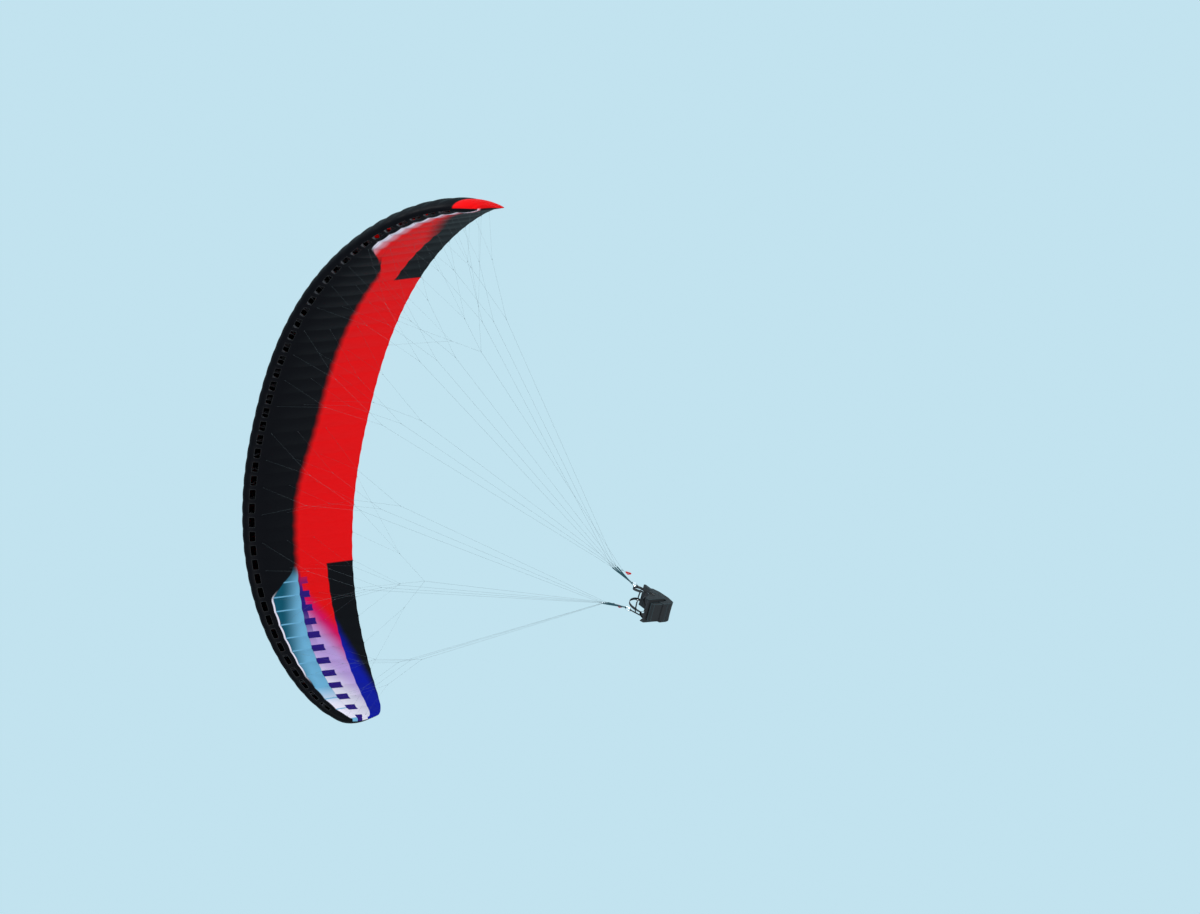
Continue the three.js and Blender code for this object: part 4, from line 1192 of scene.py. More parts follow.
# %% Risers
BAR_RADIUS, BAR_HEIGHT, BAR_PLAY, LOOP_INNER = 0.005, 0.05, 0.0008, 0.0085
LOOP_CENTRE = BAR_HEIGHT - BAR_RADIUS - BAR_PLAY + LOOP_INNER
LOOP_MIDDLE = LOOP_INNER + WEB_THICK / 2
SEWN_TOP = 0.12
SEWN_BOX, LINK_BOX = (0.07, 0.112), (0.424, 0.445)     # bottom and top of the sewn boxes
FOLD_THICK, BARREL_HALF, BARREL_THICK = 0.0016, 0.006, 0.0012
CHEEK_IN, CHEEK_OUT, PIN_OUT, PIN_RADIUS, SHEAVE_HALF = 0.0028, 0.004, 0.005, 0.002, 0.0026
PULLEY_SIDES = 28
ACROSS = [1, 0, 0]


def riser_straps():
    """Loop round the carabiner, then three straps side by side that part above the sewn stretch, each
    with a folded end round its link."""
    loop = ring_path(np.array([0, LOOP_CENTRE]), [LOOP_MIDDLE, 0], [0, LOOP_MIDDLE], 28)
    parts = [sweep(riser_point(*loop.T), WEB, ACROSS, closed=True)]
    for index, (_, _, top_y) in enumerate(ROWS):
        foot = (index - 1) * (WEB_THICK + GAP)
        eye = LINK_CENTRE - LINK_HALF[1]
        run = np.array([[foot, LOOP_CENTRE + LOOP_INNER + 0.001], [foot, 0.09], [foot, SEWN_TOP],
                        [foot + (top_y - foot) * 0.45, 0.28], [top_y, eye - 0.03], [top_y, eye - 0.0045]])
        parts.append(sweep(riser_point(*smooth_path(run, 24).T), WEB, ACROSS))
        fold = ring_path(np.array([top_y, eye]), [LINK_ROD + 0.001, 0], [0, 0.0055], 20)
        fold_profile = strap_profile(WEB_WIDTH * 0.8, FOLD_THICK)
        parts.append(sweep(riser_point(*fold.T), fold_profile, ACROSS, closed=True))
    return parts


def riser_stitches():
    """Boxes on both faces of the sewn stretch and under every link."""
    parts = []
    for face in (-1, 1):
        lift = np.array([0, face * (1.5 * WEB_THICK + 0.0004), 0])
        parts += box_stitch(*(riser_point(0, z) for z in SEWN_BOX), ACROSS, 0.008, lift)
        lift = np.array([0, face * (WEB_THICK / 2 + 0.0001), 0])
        for _, _, top_y in ROWS:
            parts += box_stitch(*(riser_point(top_y, z) for z in LINK_BOX), ACROSS, 0.0075, lift)
    return parts


def link_parts(y):
    """Oval ring of round rod with a threaded barrel on its outer side."""
    centre = riser_point(y, LINK_CENTRE)
    half_width, half_height = LINK_HALF
    ring = ring_path(centre, [half_width, 0, 0], [0, 0, half_height], 32)
    barrel = centre + np.array([half_width, 0, 0]) + np.outer([-BARREL_HALF, BARREL_HALF], [0, 0, 1])
    return [sweep(ring, circle(LINK_ROD, 10), [0, 1, 0], closed=True),
            sweep(barrel, circle(LINK_ROD + BARREL_THICK, 6), [0, 1, 0])]


def pulley_parts():
    """Two cheeks and a pin, and a sheave whose radius rises with the square of the distance from its
    middle, all across X."""
    groove = np.linspace(-1, 1, 9)
    rounds = [((-CHEEK_OUT, -CHEEK_IN), PULLEY_RADIUS, 1.0), ((CHEEK_IN, CHEEK_OUT), PULLEY_RADIUS, 1.0),
              ((-PIN_OUT, PIN_OUT), PIN_RADIUS, 1.0),
              (SHEAVE_HALF * groove, PULLEY_RADIUS - 0.001, 0.72 + 0.28 * groove ** 2)]
    centre = riser_point(PULLEY_Y, PULLEY_Z)
    return [sweep(centre + np.outer(ends, ACROSS), circle(radius, PULLEY_SIDES), [0, 1, 0], scale=scale)
            for ends, radius, scale in rounds]


rear_y = ROWS[2][2] * (PULLEY_Z - SEWN_TOP) / (RISER_TOP - SEWN_TOP)
arm = riser_point([rear_y, PULLEY_Y - 0.004], [PULLEY_Z + 0.0055, PULLEY_Z + 0.001])
links = [part for _, _, y in ROWS for part in link_parts(y)]
for word, hand in SIDES:
    straps = piece(f"riser_straps_{word}", riser_straps(), riser_web, "canopy", hand)
    piece(f"riser_stitching_{word}", riser_stitches(), thread, "canopy", hand)
    piece(f"pulley_strap_{word}", [sweep(arm, strap_profile(0.006, 0.003), ACROSS)],
          riser_web, "canopy", hand)
    piece(f"brake_pulley_{word}", pulley_parts(), alloy, "canopy", hand)
    piece(f"line_links_{word}", links, steel, "canopy", hand)
    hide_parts(f"riser_{word}")
print("Risers:", len(riser_stitches()), "stitches each")

# %% [markdown]
# ## Carabiners
# A carabiner is one bent rod, open on its inner side, where a gate with a locking sleeve closes it.
# The rod is a circle carried along a smooth path through the frame's own bends.

# %% Carabiners
GATE_X, GATE_BOTTOM, GATE_TOP, GATE_RADIUS = -0.022, -0.032, 0.03, 0.0045
FRAME_BENDS = [
    (GATE_X, GATE_TOP + 0.0008), (GATE_X, 0.037), (-0.019, 0.045), (-0.012, 0.05), (-0.004, 0.05),
    (0.004, 0.05), (0.012, 0.05), (0.021, 0.043), (0.024, 0.03), (0.024, -0.03), (0.021, -0.043),
    (0.012, -0.05), (0.004, -0.05), (-0.004, -0.05), (-0.012, -0.05), (-0.019, -0.047),
    (GATE_X, -0.042), (GATE_X, GATE_BOTTOM - 0.0053),
]
FRAME_STEPS, FRAME_TAPER = 90, [0.8, 0.93, 0.98]
GATE_TAPER = np.array([
    # height over the gate's foot, share of its radius
    (-0.0045, 0.05), (-0.0038, 0.55), (-0.0022, 0.88), (0, 1), (0.006, 1), (0.0585, 1),
    (0.0608, 0.92), (0.062, 0.7),
])
LOCK_LOW, LOCK_LONG, LOCK_RADIUS, LOCK_STEPS = 0.028, 0.026, 0.006, 25
HINGE_PIN, HINGE_PIN_HALF = 0.0016, 0.0055


def beside_carabiner(x, z):
    """Point in the plane of the left carabiner, given from its centre."""
    return point_from(HANG, x, 0, z)


def gate_parts():
    """Round bar with a rounded foot, a locking sleeve whose radius alternates at its ribs, and the pin
    that the gate turns on."""
    heights, taper = GATE_TAPER.T
    bar = sweep(beside_carabiner(GATE_X, GATE_BOTTOM + heights), circle(GATE_RADIUS, 20), [0, 1, 0],
                scale=taper)
    up = LOCK_LONG * np.linspace(0, 1, LOCK_STEPS)
    ribbed = 1 - 0.06 * (np.arange(LOCK_STEPS) % 2)
    ribbed[[0, -1]] = 0.75
    lock = sweep(beside_carabiner(GATE_X, GATE_BOTTOM + LOCK_LOW + up), circle(LOCK_RADIUS, 24),
                 [0, 1, 0], scale=ribbed)
    pin_ends = np.array([-HINGE_PIN_HALF, HINGE_PIN_HALF])
    pin = sweep(point_from(HANG, GATE_X, pin_ends, GATE_BOTTOM), circle(HINGE_PIN, 12), ACROSS)
    return [bar, lock, pin]


bends = smooth_path(beside_carabiner(*np.array(FRAME_BENDS).T), FRAME_STEPS)
rod_size = np.ones(FRAME_STEPS)
rod_size[:3], rod_size[-3:] = FRAME_TAPER, FRAME_TAPER[::-1]
frame_rod = sweep(bends, circle(BAR_RADIUS, 16), [0, 1, 0], scale=rod_size)
for word, hand in SIDES:
    made = piece(f"carabiner_rod_{word}", [frame_rod], alloy, "canopy", hand)
    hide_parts(f"carabiner_frame_{word}")
    made = piece(f"carabiner_lock_{word}", gate_parts(), steel, f"gate_{word}", hand)
    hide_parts(f"carabiner_gate_{word}")
print("Carabiners: 2, each", round(2000 * BAR_HEIGHT), "mm between its bars")

# %% [markdown]
# ## Brake toggles
# A toggle is a soft loop of padded webbing with a stiff lower bar, held on a knot at the cord's end.
# It could be cut from a plate, but a strap profile swept round a rounded triangle has the flat faces
# and the fold at the neck that sewn webbing has. A small bevel softens its edges.

# %% Brake toggles
TOGGLE_HALF, TOGGLE_HEIGHT, TOGGLE_WALL, TOGGLE_WIDTH = 0.046, 0.092, 0.007, 0.02
TOGGLE_ROUND, TOGGLE_EDGE = 0.008, 0.0012
NECK_RADIUS = 0.0085
NECK_TAPER = np.array([(-0.0145, 0.7), (-0.013, 1), (-0.002, 0.9), (-0.0004, 0.6)])    # height, share


def toggle_parts():
    """Rounded closed loop under the cord, and a whipped neck where its two ends are sewn together."""
    inset = TOGGLE_WALL / 2
    corners = np.array([(0.0045, -0.006), (TOGGLE_HALF - inset, 0.012 - TOGGLE_HEIGHT),
                        (TOGGLE_HALF - 0.014, inset - TOGGLE_HEIGHT)])
    corners = np.vstack([corners, corners[::-1] * [-1, 1]])
    bend = rounded(corners, TOGGLE_ROUND)
    path = CORD_FOOT + np.column_stack([np.zeros(len(bend)), bend])
    heights, taper = NECK_TAPER.T
    neck = CORD_FOOT + np.outer(heights, [0, 0, 1])
    return [sweep(path, strap_profile(TOGGLE_WIDTH, TOGGLE_WALL * 0.9), ACROSS, closed=True),
            sweep(neck, circle(NECK_RADIUS, 16), ACROSS, scale=taper)]


grip_cloth = webbing_material("grip_webbing", (0.5, 0.012, 0.016))
for word, hand in SIDES:
    made = piece(f"toggle_loop_{word}", toggle_parts(), grip_cloth, f"toggle_{word}", hand)
    rounding = made.modifiers.new("soft_edges", "BEVEL")
    rounding.width = TOGGLE_EDGE
    rounding.segments = 2
    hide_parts(f"brake_toggle_{word}")
print("Toggles:", round(2000 * TOGGLE_HALF), "mm wide")

# %% [markdown]
# ## Fabrics of the harness
# The seat, the seat's shell, the back rest, the protector and the reserve's pouch are fabric over
# foam or air. Each starts as the prism that the frame holds.

# %% Fabrics of the harness
HIPS = np.array([0, -0.09, -7.9])             # middle of the hinge line through the lower bars


def harness_point(x, y, z):
    """Point given from the middle of the hinge line."""
    return point_from(HIPS, x, y, z)


def prism(profile, low, high):
    """Side profile of y and z carried along X from low to high."""
    return sweep(harness_point(np.array([low, high]), 0, 0), profile, [0, 1, 0])


def fabric_material(name, colour, cell, depth, roughness=0.7):
    """Fabric whose bump is a pattern of small cells on the piece's own place: fine for coated nylon,
    coarser for spacer mesh. Slow noise varies its roughness."""
    material, tree, shader = new_material(name, roughness, Base_Color=(*colour, 1), Specular_IOR_Level=0.3)
    place = add_node(tree, "TexCoord").outputs["Object"]
    cells = add_node(tree, "TexVoronoi", {"Vector": place, "Scale": 1 / cell}).outputs["Distance"]
    emboss(tree, shader, cells, 0.5, depth)
    worn = add_node(tree, "TexNoise", {"Vector": place, "Scale": 14.0, "Detail": 3.0}).outputs[0]
    feed(tree, shader.inputs["Roughness"], sum_of(tree, "MULTIPLY_ADD", worn, 0.3, roughness - 0.15))
    return material


coated = fabric_material("coated_nylon", (0.011, 0.012, 0.014), 0.0012, 0.0003)
spacer = fabric_material("spacer_mesh", (0.02, 0.021, 0.024), 0.0022, 0.0008, roughness=0.85)
edging = fabric_material("edge_piping", (0.03, 0.06, 0.07), 0.001, 0.0002)
print("Fabrics ready")

# %% [markdown]
# ## Swelling of a pad
# Cloth under pressure swells its panels while the sewn seams are held, which gives the puckers that
# no profile has. Where a pad lies against a neighbour, it is pressed flat again.

# %% Swelling of a pad
SWELL_FRAMES = 20
REST_REACH, REST_GAP = 0.02, 0.0002


def points_of(mesh):
    """Points of a mesh as an array."""
    found = np.empty(3 * len(mesh.vertices), np.float32)
    mesh.vertices.foreach_get("co", found)
    return found.reshape(-1, 3)


def evaluated(made):
    """New mesh with the piece's modifiers in it."""
    return bpy.data.meshes.new_from_object(made.evaluated_get(bpy.context.evaluated_depsgraph_get()))


def near_seams(points, seams, reach):
    """Which points lie within reach of a seam: the distance to a stretch is that to the point of it
    whose share along it is the clipped projection."""
    starts, ends = [], []
    for path, closed, _ in seams:
        starts.append(path if closed else path[:-1])
        ends.append(np.roll(path, -1, axis=0) if closed else path[1:])
    starts, ends = np.concatenate(starts), np.concatenate(ends)
    way = ends - starts
    from_start = points[:, None] - starts
    share = np.clip((from_start * way).sum(-1) / (way * way).sum(-1), 0, 1)
    return np.linalg.norm(from_start - share[..., None] * way, axis=-1).min(axis=1) < reach


def swell(made, held, cap, pressure):
    """Cloth under pressure without gravity. No point moves farther than the cap."""
    group = made.vertex_groups.new(name="seams")
    group.add(np.flatnonzero(held).tolist(), 1.0, "REPLACE")
    simulated = made.modifiers.new("swell", "CLOTH")
    simulated.settings.vertex_group_mass = "seams"
    simulated.settings.use_pressure = True
    simulated.settings.uniform_pressure_force = pressure
    simulated.settings.effector_weights.gravity = 0
    simulated.settings.quality = 4
    for number in range(1, SWELL_FRAMES + 1):
        bpy.context.scene.frame_set(number)
    start, end = points_of(made.data), points_of(evaluated(made))
    move = end - start
    length = np.linalg.norm(move, axis=1, keepdims=True)
    start += move * np.minimum(1, cap / np.maximum(length, 1e-9))
    made.modifiers.remove(simulated)
    made.vertex_groups.clear()
    made.data.vertices.foreach_set("co", start.ravel())
    bpy.context.scene.frame_set(1)
    return float(np.median(length))


def settle(mesh, profile, rests, side):
    """Keeps a pad flat where it lies against a neighbour: near each resting edge of its profile, a
    point that has passed the edge's line is put back on it, and none passes the side planes."""
    points = points_of(mesh).astype(float)
    points[:, 0] = np.clip(points[:, 0], -side, side)
    place = points[:, 1:] - HIPS[1:]
    profile = np.asarray(profile, float)
    onwards = np.roll(profile, -1, axis=0)
    turn = np.sign((profile[:, 0] * onwards[:, 1] - onwards[:, 0] * profile[:, 1]).sum())
    for start, end in zip(profile[rests], onwards[rests]):
        along = unit(end - start)
        outward = turn * np.array([along[1], -along[0]])
        past, share = (place - start) @ outward, (place - start) @ along / np.linalg.norm(end - start)
        near = (np.abs(past) < REST_REACH) & (np.abs(share - 0.5) < 0.55)
        place -= np.where(near, np.maximum(0, past + REST_GAP), 0)[:, None] * outward
    points[:, 1:] = place + HIPS[1:]
    mesh.vertices.foreach_set("co", points.astype(np.float32).ravel())


print("Frames of swelling:", SWELL_FRAMES)

# %% [markdown]
# ## Padded form
# The prism is remeshed, drawn in and smoothed, and only then swells. A finer surface comes last.

# %% Padded form
SMOOTH_ROUNDS = 8
FINE_VOXEL, BAG_VOXEL = 0.006, 0.008
PAD_PRESSURE, SHELL_PRESSURE = 16.0, 4.0
HELD_BESIDE = 1.3                # how many voxels to each side of a seam are held


def padded_form(name, parts, seams, material, node, draw_in, cap, rest,
                voxel=FINE_VOXEL, pressure=PAD_PRESSURE):
    """Padded piece from overlapping prisms, with its panels swollen between its seams. rest is the
    profile, the numbers of its edges that lie against neighbours, and how far out its sides may come."""
    rough = piece("rough_form", parts, material, None)
    remesh = rough.modifiers.new("remesh", "REMESH")
    remesh.mode = "VOXEL"
    remesh.voxel_size = voxel
    inwards = rough.modifiers.new("draw_in", "DISPLACE")
    inwards.strength = -draw_in
    inwards.mid_level = 0
    soften = rough.modifiers.new("soften", "SMOOTH")
    soften.iterations = SMOOTH_ROUNDS
    made = bpy.data.objects.new(name, evaluated(rough))
    made.data.name = name
    bpy.data.objects.remove(rough)
    bpy.context.scene.collection.objects.link(made)
    held = near_seams(points_of(made.data), seams, HELD_BESIDE * voxel)
    moved = swell(made, held, cap, pressure)
    print(name, "swelled by", round(1000 * moved, 1), "mm in the middle of its range")
    settle(made.data, *rest)
    made.data.polygons.foreach_set("use_smooth", np.ones(len(made.data.polygons), bool))
    finer = made.modifiers.new("finer", "SUBSURF")
    finer.levels = finer.render_levels = 1
    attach(made, "harness")
    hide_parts(node)
    return made


print("Padded form ready, simulation", "in")

# %% [markdown]
# ## Seams and piping
# Piping and stitched channels are laid on the pad afterwards, where its seams ended up.

# %% Seams and piping
SEAM_STEP = 0.008


def in_steps(path, step):
    """Path cut into even steps of about this length, by its length along itself."""
    along = lengths(path)
    at = np.linspace(0, along[-1], max(4, int(along[-1] / step)))
    return np.column_stack([np.interp(at, along, path[:, axis]) for axis in range(3)])


def on_pad(path, closed, points):
    """Seam path in short steps, each moved to the pad's nearest point, then evened out three times."""
    fine = in_steps(np.vstack([path, path[:1]]) if closed else path, SEAM_STEP)
    if closed:
        fine = fine[:-1]
    laid = points[np.linalg.norm(fine[:, None] - points, axis=-1).argmin(axis=1)].astype(float)
    for _ in range(3):
        evened = (np.roll(laid, 1, axis=0) + 2 * laid + np.roll(laid, -1, axis=0)) / 4
        laid = evened if closed else np.vstack([laid[:1], evened[1:-1], laid[-1:]])
    return laid


def piping(name, made, seams, radius, material):
    """Round piping along seams, laid on the pad as it is now."""
    points = points_of(made.data)
    parts = [sweep(on_pad(path, closed, points), circle(radius), across, closed=closed)
             for path, closed, across in seams]
    return piece(name, parts, material, "harness")


def side_seams(profile, half, draw_in):
    """Outline of a profile on both sides, drawn in from the prism's own edges."""
    profile = np.asarray(profile, float)
    middle = (profile.max(axis=0) + profile.min(axis=0)) / 2
    inner = middle + (profile - middle) * (1 - 2 * draw_in / np.ptp(profile, axis=0))
    return [(harness_point(hand * (half - draw_in), *inner.T), True, ACROSS) for hand in (1, -1)]


def cross_seams(places, half, draw_in):
    """Seams across the harness at places given as y and z."""
    ends = np.array([draw_in - half, half - draw_in])
    return [(harness_point(ends, y, z), False, [0, 1, 0.2]) for y, z in places]


print("Seams in steps of", 1000 * SEAM_STEP, "mm")

# %% [markdown]
# ## Seat, shell and back rest
# The seat falls a little towards the back, so that a load on it slides in, not out. Its shell is a
# floor with two side panels that rise beside the seat. The back rest is a flat foam panel with sewn
# channels across it. Hand-shaped pads would do, but a simulated panel swells as sewn cloth does.

# %% Seat, shell and back rest
SEAT_FRONT, SEAT_BACK, SEAT_HALF, SEAT_THICK = -0.23, 0.11, 0.18, 0.04
SEAT_FRONT_Z, SEAT_BACK_Z = -0.43, -0.462
WALL, FLOOR = 0.0187, 0.012
SHELL_FRONT, SHELL_BACK = SEAT_FRONT - 0.005, SEAT_BACK + 0.01
BACK_FOOT, BACK_HEAD, BACK_THICK = np.array([0.125, -0.445]), np.array([0.264, 0.08]), 0.05
BACK_LENGTH = float(np.linalg.norm(BACK_HEAD - BACK_FOOT))
SEAT_CHANNELS, SEAT_FOLD = (-0.06, 0.06), 0.11         # places across, and behind the front edge
BACK_CHANNELS = (0.22, 0.42, 0.62, 0.82)               # shares of the back rest's length
PAD_DRAW, SHELL_DRAW = 0.006, 0.002                    # how far each form is drawn in before it swells
PAD_CAP, SHELL_CAP = 0.014, 0.005                      # how far it may swell
WIDE_PIPING, NARROW_PIPING, SEAM_CORD = 0.0025, 0.002, 0.001


def seat_z(y, below=0.0):
    """Height of the seat's top: a straight fall from front to back, less how far below it."""
    return SEAT_FRONT_Z + (SEAT_BACK_Z - SEAT_FRONT_Z) * (y - SEAT_FRONT) / (SEAT_BACK - SEAT_FRONT) - below


def back_place(along, behind):
    """Place of the back rest: along its front face from the foot, and square behind it."""
    up = unit(BACK_HEAD - BACK_FOOT)
    return BACK_FOOT + up * along + np.array([up[1], -up[0]]) * behind


seat_profile = [(SEAT_FRONT, seat_z(SEAT_FRONT)), (SEAT_FRONT, seat_z(SEAT_FRONT, SEAT_THICK)),
                (SEAT_BACK, seat_z(SEAT_BACK, SEAT_THICK)), (SEAT_BACK, seat_z(SEAT_BACK))]
seat_sides = side_seams(seat_profile, SEAT_HALF, PAD_DRAW)
channel_y, channel_z = (np.array([SEAT_FRONT + PAD_DRAW, SEAT_BACK - PAD_DRAW]),
                        seat_z(np.array([SEAT_FRONT, SEAT_BACK]), PAD_DRAW))
seat_channels = [(harness_point(x, channel_y, channel_z), False, ACROSS) for x in SEAT_CHANNELS]
fold_y = SEAT_FRONT + SEAT_FOLD
seat_front = cross_seams([(SEAT_FRONT + PAD_DRAW, seat_z(SEAT_FRONT, PAD_DRAW)),
                          (fold_y, seat_z(fold_y, PAD_DRAW))], SEAT_HALF, PAD_DRAW)
seat = padded_form("seat_pad", [prism(seat_profile, -SEAT_HALF, SEAT_HALF)],
                   seat_sides + seat_channels + seat_front, spacer, "seat_cushion", PAD_DRAW, PAD_CAP,
                   (seat_profile, [1], SEAT_HALF - REST_GAP))
piping("seat_piping", seat, seat_sides, WIDE_PIPING, edging)
piping("seat_seams", seat, seat_channels + seat_front, SEAM_CORD, coated)

shell_under = SEAT_THICK + GAP + FLOOR
floor_low, floor_high = ([(y, seat_z(y, below)) for y in (SHELL_FRONT, SHELL_BACK)]
                         for below in (shell_under, SEAT_THICK + GAP))
side_profile = [*floor_low, (0.16, -0.4), (0.16, -0.2), (0.02, -0.2), (-0.06, -0.33), (SHELL_FRONT, -0.4)]
floor_profile = [*floor_low, *floor_high[::-1]]
outer = SEAT_HALF + WALL
walls = [prism(side_profile, *ends) for ends in ((-outer, -SEAT_HALF), (SEAT_HALF, outer))]
shell_sides = side_seams(side_profile, outer, SHELL_DRAW)
shell = padded_form("seat_shell", [*walls, prism(floor_profile, -outer, outer)], shell_sides,
                    coated, "seat_bucket", SHELL_DRAW, SHELL_CAP,
                    (side_profile, [0], outer + 0.004), pressure=SHELL_PRESSURE)
piping("shell_piping", shell, shell_sides, NARROW_PIPING, edging)

back_profile = [back_place(0, 0), back_place(0, BACK_THICK), back_place(BACK_LENGTH, BACK_THICK),
                back_place(BACK_LENGTH, 0)]
back_sides = side_seams(back_profile, SEAT_HALF, PAD_DRAW)
back_channels = cross_seams([back_place(BACK_LENGTH * share, PAD_DRAW) for share in BACK_CHANNELS],
                            SEAT_HALF, PAD_DRAW)
back = padded_form("back_pad", [prism(back_profile, GAP - SEAT_HALF, SEAT_HALF - GAP)],
                   back_sides + back_channels, spacer, "back_rest", PAD_DRAW, PAD_CAP,
                   (back_profile, [0, 1], SEAT_HALF + 0.001))
piping("back_piping", back, back_sides, WIDE_PIPING, edging)
piping("back_seams", back, back_channels, SEAM_CORD, coated)
print("Seat", round(2000 * SEAT_HALF), "mm wide, back rest", round(1000 * BACK_LENGTH), "mm long")

# %% [markdown]
# ## Protector and reserve pouch
# Under the seat's rear and behind the back rest sits a bag of air or foam, 13 cm deep, that takes up
# a hard landing. The reserve parachute's pouch fills the space under the seat's front. Its red
# handle is on the right side, within reach from the seat.

# %% Protector and reserve pouch
BAG_HALF, BAG_SPLIT, BAG_DEPTH, POUCH_HALF, POUCH_FRONT = 0.165, -0.02, 0.13, 0.15, -0.2
BAG_DRAW, BAG_CAP, POUCH_CAP, BAG_SIDE_ROOM = 0.007, 0.016, 0.012, 0.005
BAG_LOW, BAG_HIGH, BAG_SLANT = 0.06, 0.3, 0.02        # along the back rest: the bag's full depth
HANDLE_CORNERS = [(-0.145, -0.455), (-0.145, -0.405), (-0.065, -0.405), (-0.065, -0.455)]
HANDLE_ROUND, HANDLE_HALF, HANDLE_THICK = 0.014, 0.006, [0.0058, 0.005]


def shell_z(y):
    """Height just under the seat's shell."""
    return seat_z(y, shell_under + GAP)


behind = BACK_THICK + GAP
bag_back = SEAT_BACK + 0.012
bag_profile = [(BAG_SPLIT, shell_z(BAG_SPLIT)), (bag_back, shell_z(bag_back)), (0.172, -0.5),
               back_place(-0.02, behind), back_place(0.43, behind), back_place(0.42, behind + 0.06),
               back_place(BAG_HIGH, behind + BAG_DEPTH - BAG_SLANT), back_place(BAG_LOW, behind + BAG_DEPTH),
               (0.24, -0.61), (0.14, -0.64), (BAG_SPLIT, -0.63)]
bag_sides = side_seams(bag_profile, BAG_HALF, BAG_DRAW)
bag_bands = cross_seams([(BAG_SPLIT + 0.1, -0.632), back_place(BAG_LOW, behind + BAG_DEPTH - BAG_DRAW),
                         back_place(BAG_HIGH, behind + BAG_DEPTH - 0.027)], BAG_HALF, BAG_DRAW)
bag = padded_form("protector_bag", [prism(bag_profile, -BAG_HALF, BAG_HALF)], bag_sides + bag_bands,
                  coated, "back_protector", BAG_DRAW, BAG_CAP,
                  (bag_profile, [0, 1, 2, 3, 10], BAG_HALF + BAG_SIDE_ROOM), voxel=BAG_VOXEL)
piping("protector_piping", bag, bag_sides + bag_bands, WIDE_PIPING, edging)

pouch_back = BAG_SPLIT - GAP
pouch_profile = [(POUCH_FRONT, shell_z(POUCH_FRONT)), (POUCH_FRONT - 0.016, -0.52),
                 (POUCH_FRONT + 0.01, -0.58), (pouch_back, -0.612), (pouch_back, shell_z(BAG_SPLIT))]
pouch_sides = side_seams(pouch_profile, POUCH_HALF, PAD_DRAW)
pouch_flap = cross_seams([(POUCH_FRONT - 0.01, -0.525), (POUCH_FRONT + 0.012, -0.573)], POUCH_HALF, PAD_DRAW)
pouch = padded_form("reserve_pouch", [prism(pouch_profile, -POUCH_HALF, POUCH_HALF)],
                    pouch_sides + pouch_flap, coated, "reserve_container", PAD_DRAW, POUCH_CAP,
                    (pouch_profile, [3, 4], POUCH_HALF + BAG_SIDE_ROOM))
piping("pouch_piping", pouch, pouch_sides + pouch_flap, NARROW_PIPING, edging)

handle_path = harness_point(-(outer + GAP + HANDLE_HALF), *rounded(HANDLE_CORNERS, HANDLE_ROUND).T)
handle = piece("reserve_grip", [sweep(handle_path, circle(1, 12) * HANDLE_THICK, ACROSS, closed=True)],
               grip_cloth, "harness")
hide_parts("reserve_handle")
print("Protector", round(1000 * BAG_DEPTH), "mm deep")

# %% [markdown]
# ## Pocket and zips
# A zip is a woven tape, a coil of teeth and a metal slider with a fabric pull. One closes the pocket
# on the protector's back, and one runs down each side panel. They lie on the panels as these ended
# up, so their height comes from the nearest points of the pad.

# %% Pocket and zips
TAPE_WIDTH, TAPE_THICK, COIL, TOOTH, ZIP_LIFT = 0.024, 0.0014, 0.0024, 0.0016, 0.001
SLIDER_WIDTH, SLIDER_THICK, SLIDER_MIDDLE = 0.009, 0.006, 0.009
SLIDER_TAPER = np.array([(0.002, 0.6), (0.004, 1), (0.012, 1), (0.015, 0.55)])     # along, share
PULL_WIDTH, PULL_THICK, PULL_DROPS = 0.007, 0.002, (0.012, 0.042)
POCKET_HALF, POCKET_LOW, POCKET_HIGH, POCKET_ROUND = 0.115, 0.1, 0.265, 0.03
POCKET_ZIP, POCKET_ZIP_DOWN = 0.1, 0.02                 # half its length, and under the pocket's top
SIDE_ZIP = [(-0.03, -0.28), (0.05, -0.262), (0.115, -0.3), (0.125, -0.38), (0.105, -0.45)]
PANEL_UNDER, PANEL_OVER, NEIGHBOURS = 0.014, 0.03, 8


def laid_on(path, points, normal, lift=0.0):
    """Path moved along a panel's outward direction to the mean height of the panel's nearest points,
    plus a lift. Points far under or over the path belong to other panels."""
    above = points @ normal - (path @ normal).mean()
    panel_points = points[(above > -PANEL_UNDER) & (above < PANEL_OVER)]
    height = panel_points @ normal
    flat, base = (values - (values @ normal)[:, None] * normal for values in (panel_points, path))
    nearest = np.linalg.norm(base[:, None] - flat, axis=-1).argsort(axis=1)[:, :NEIGHBOURS]
    return base + (height[nearest].mean(axis=1) + lift)[:, None] * normal


def zip_tape(path, normal):
    """Flat tape along the path."""
    return sweep(path, strap_profile(TAPE_WIDTH, TAPE_THICK), np.cross(normal, np.gradient(path, axis=0)))


def zip_coil(path, normal):
    """Round coil on the tape, whose size alternates at every tooth."""
    fine = in_steps(path, TOOTH) + normal * 0.0009
    return sweep(fine, circle(COIL, 6), normal, scale=1 - 0.35 * (np.arange(len(fine)) % 2))


def zip_slider(path, normal):
    """Slider at the start of the path: a block that narrows at both ends, with a short neck."""
    forward, (steps, taper) = unit(path[3] - path[0]), SLIDER_TAPER.T
    block = path[0] + normal * 0.002 + forward * steps[:, None]
    body = sweep(block, strap_profile(SLIDER_WIDTH, SLIDER_THICK), np.cross(normal, forward), scale=taper)
    neck = ring_path(path[0] + normal * 0.006 + forward * SLIDER_MIDDLE, forward * 0.004, normal * 0.0028, 12)
    return [body, sweep(neck, circle(0.0009, 6), np.cross(normal, forward), closed=True)]


def zip_pull(path, normal):
    """Fabric pull that hangs from the slider's neck."""
    start = path[0] + normal * 0.0075 + unit(path[3] - path[0]) * SLIDER_MIDDLE
    hanging = [start + [0, 0, -drop] + normal * 0.001 for drop in PULL_DROPS]
    return sweep([start, *hanging], strap_profile(PULL_WIDTH, PULL_THICK), np.cross(normal, [0, 0, 1]))


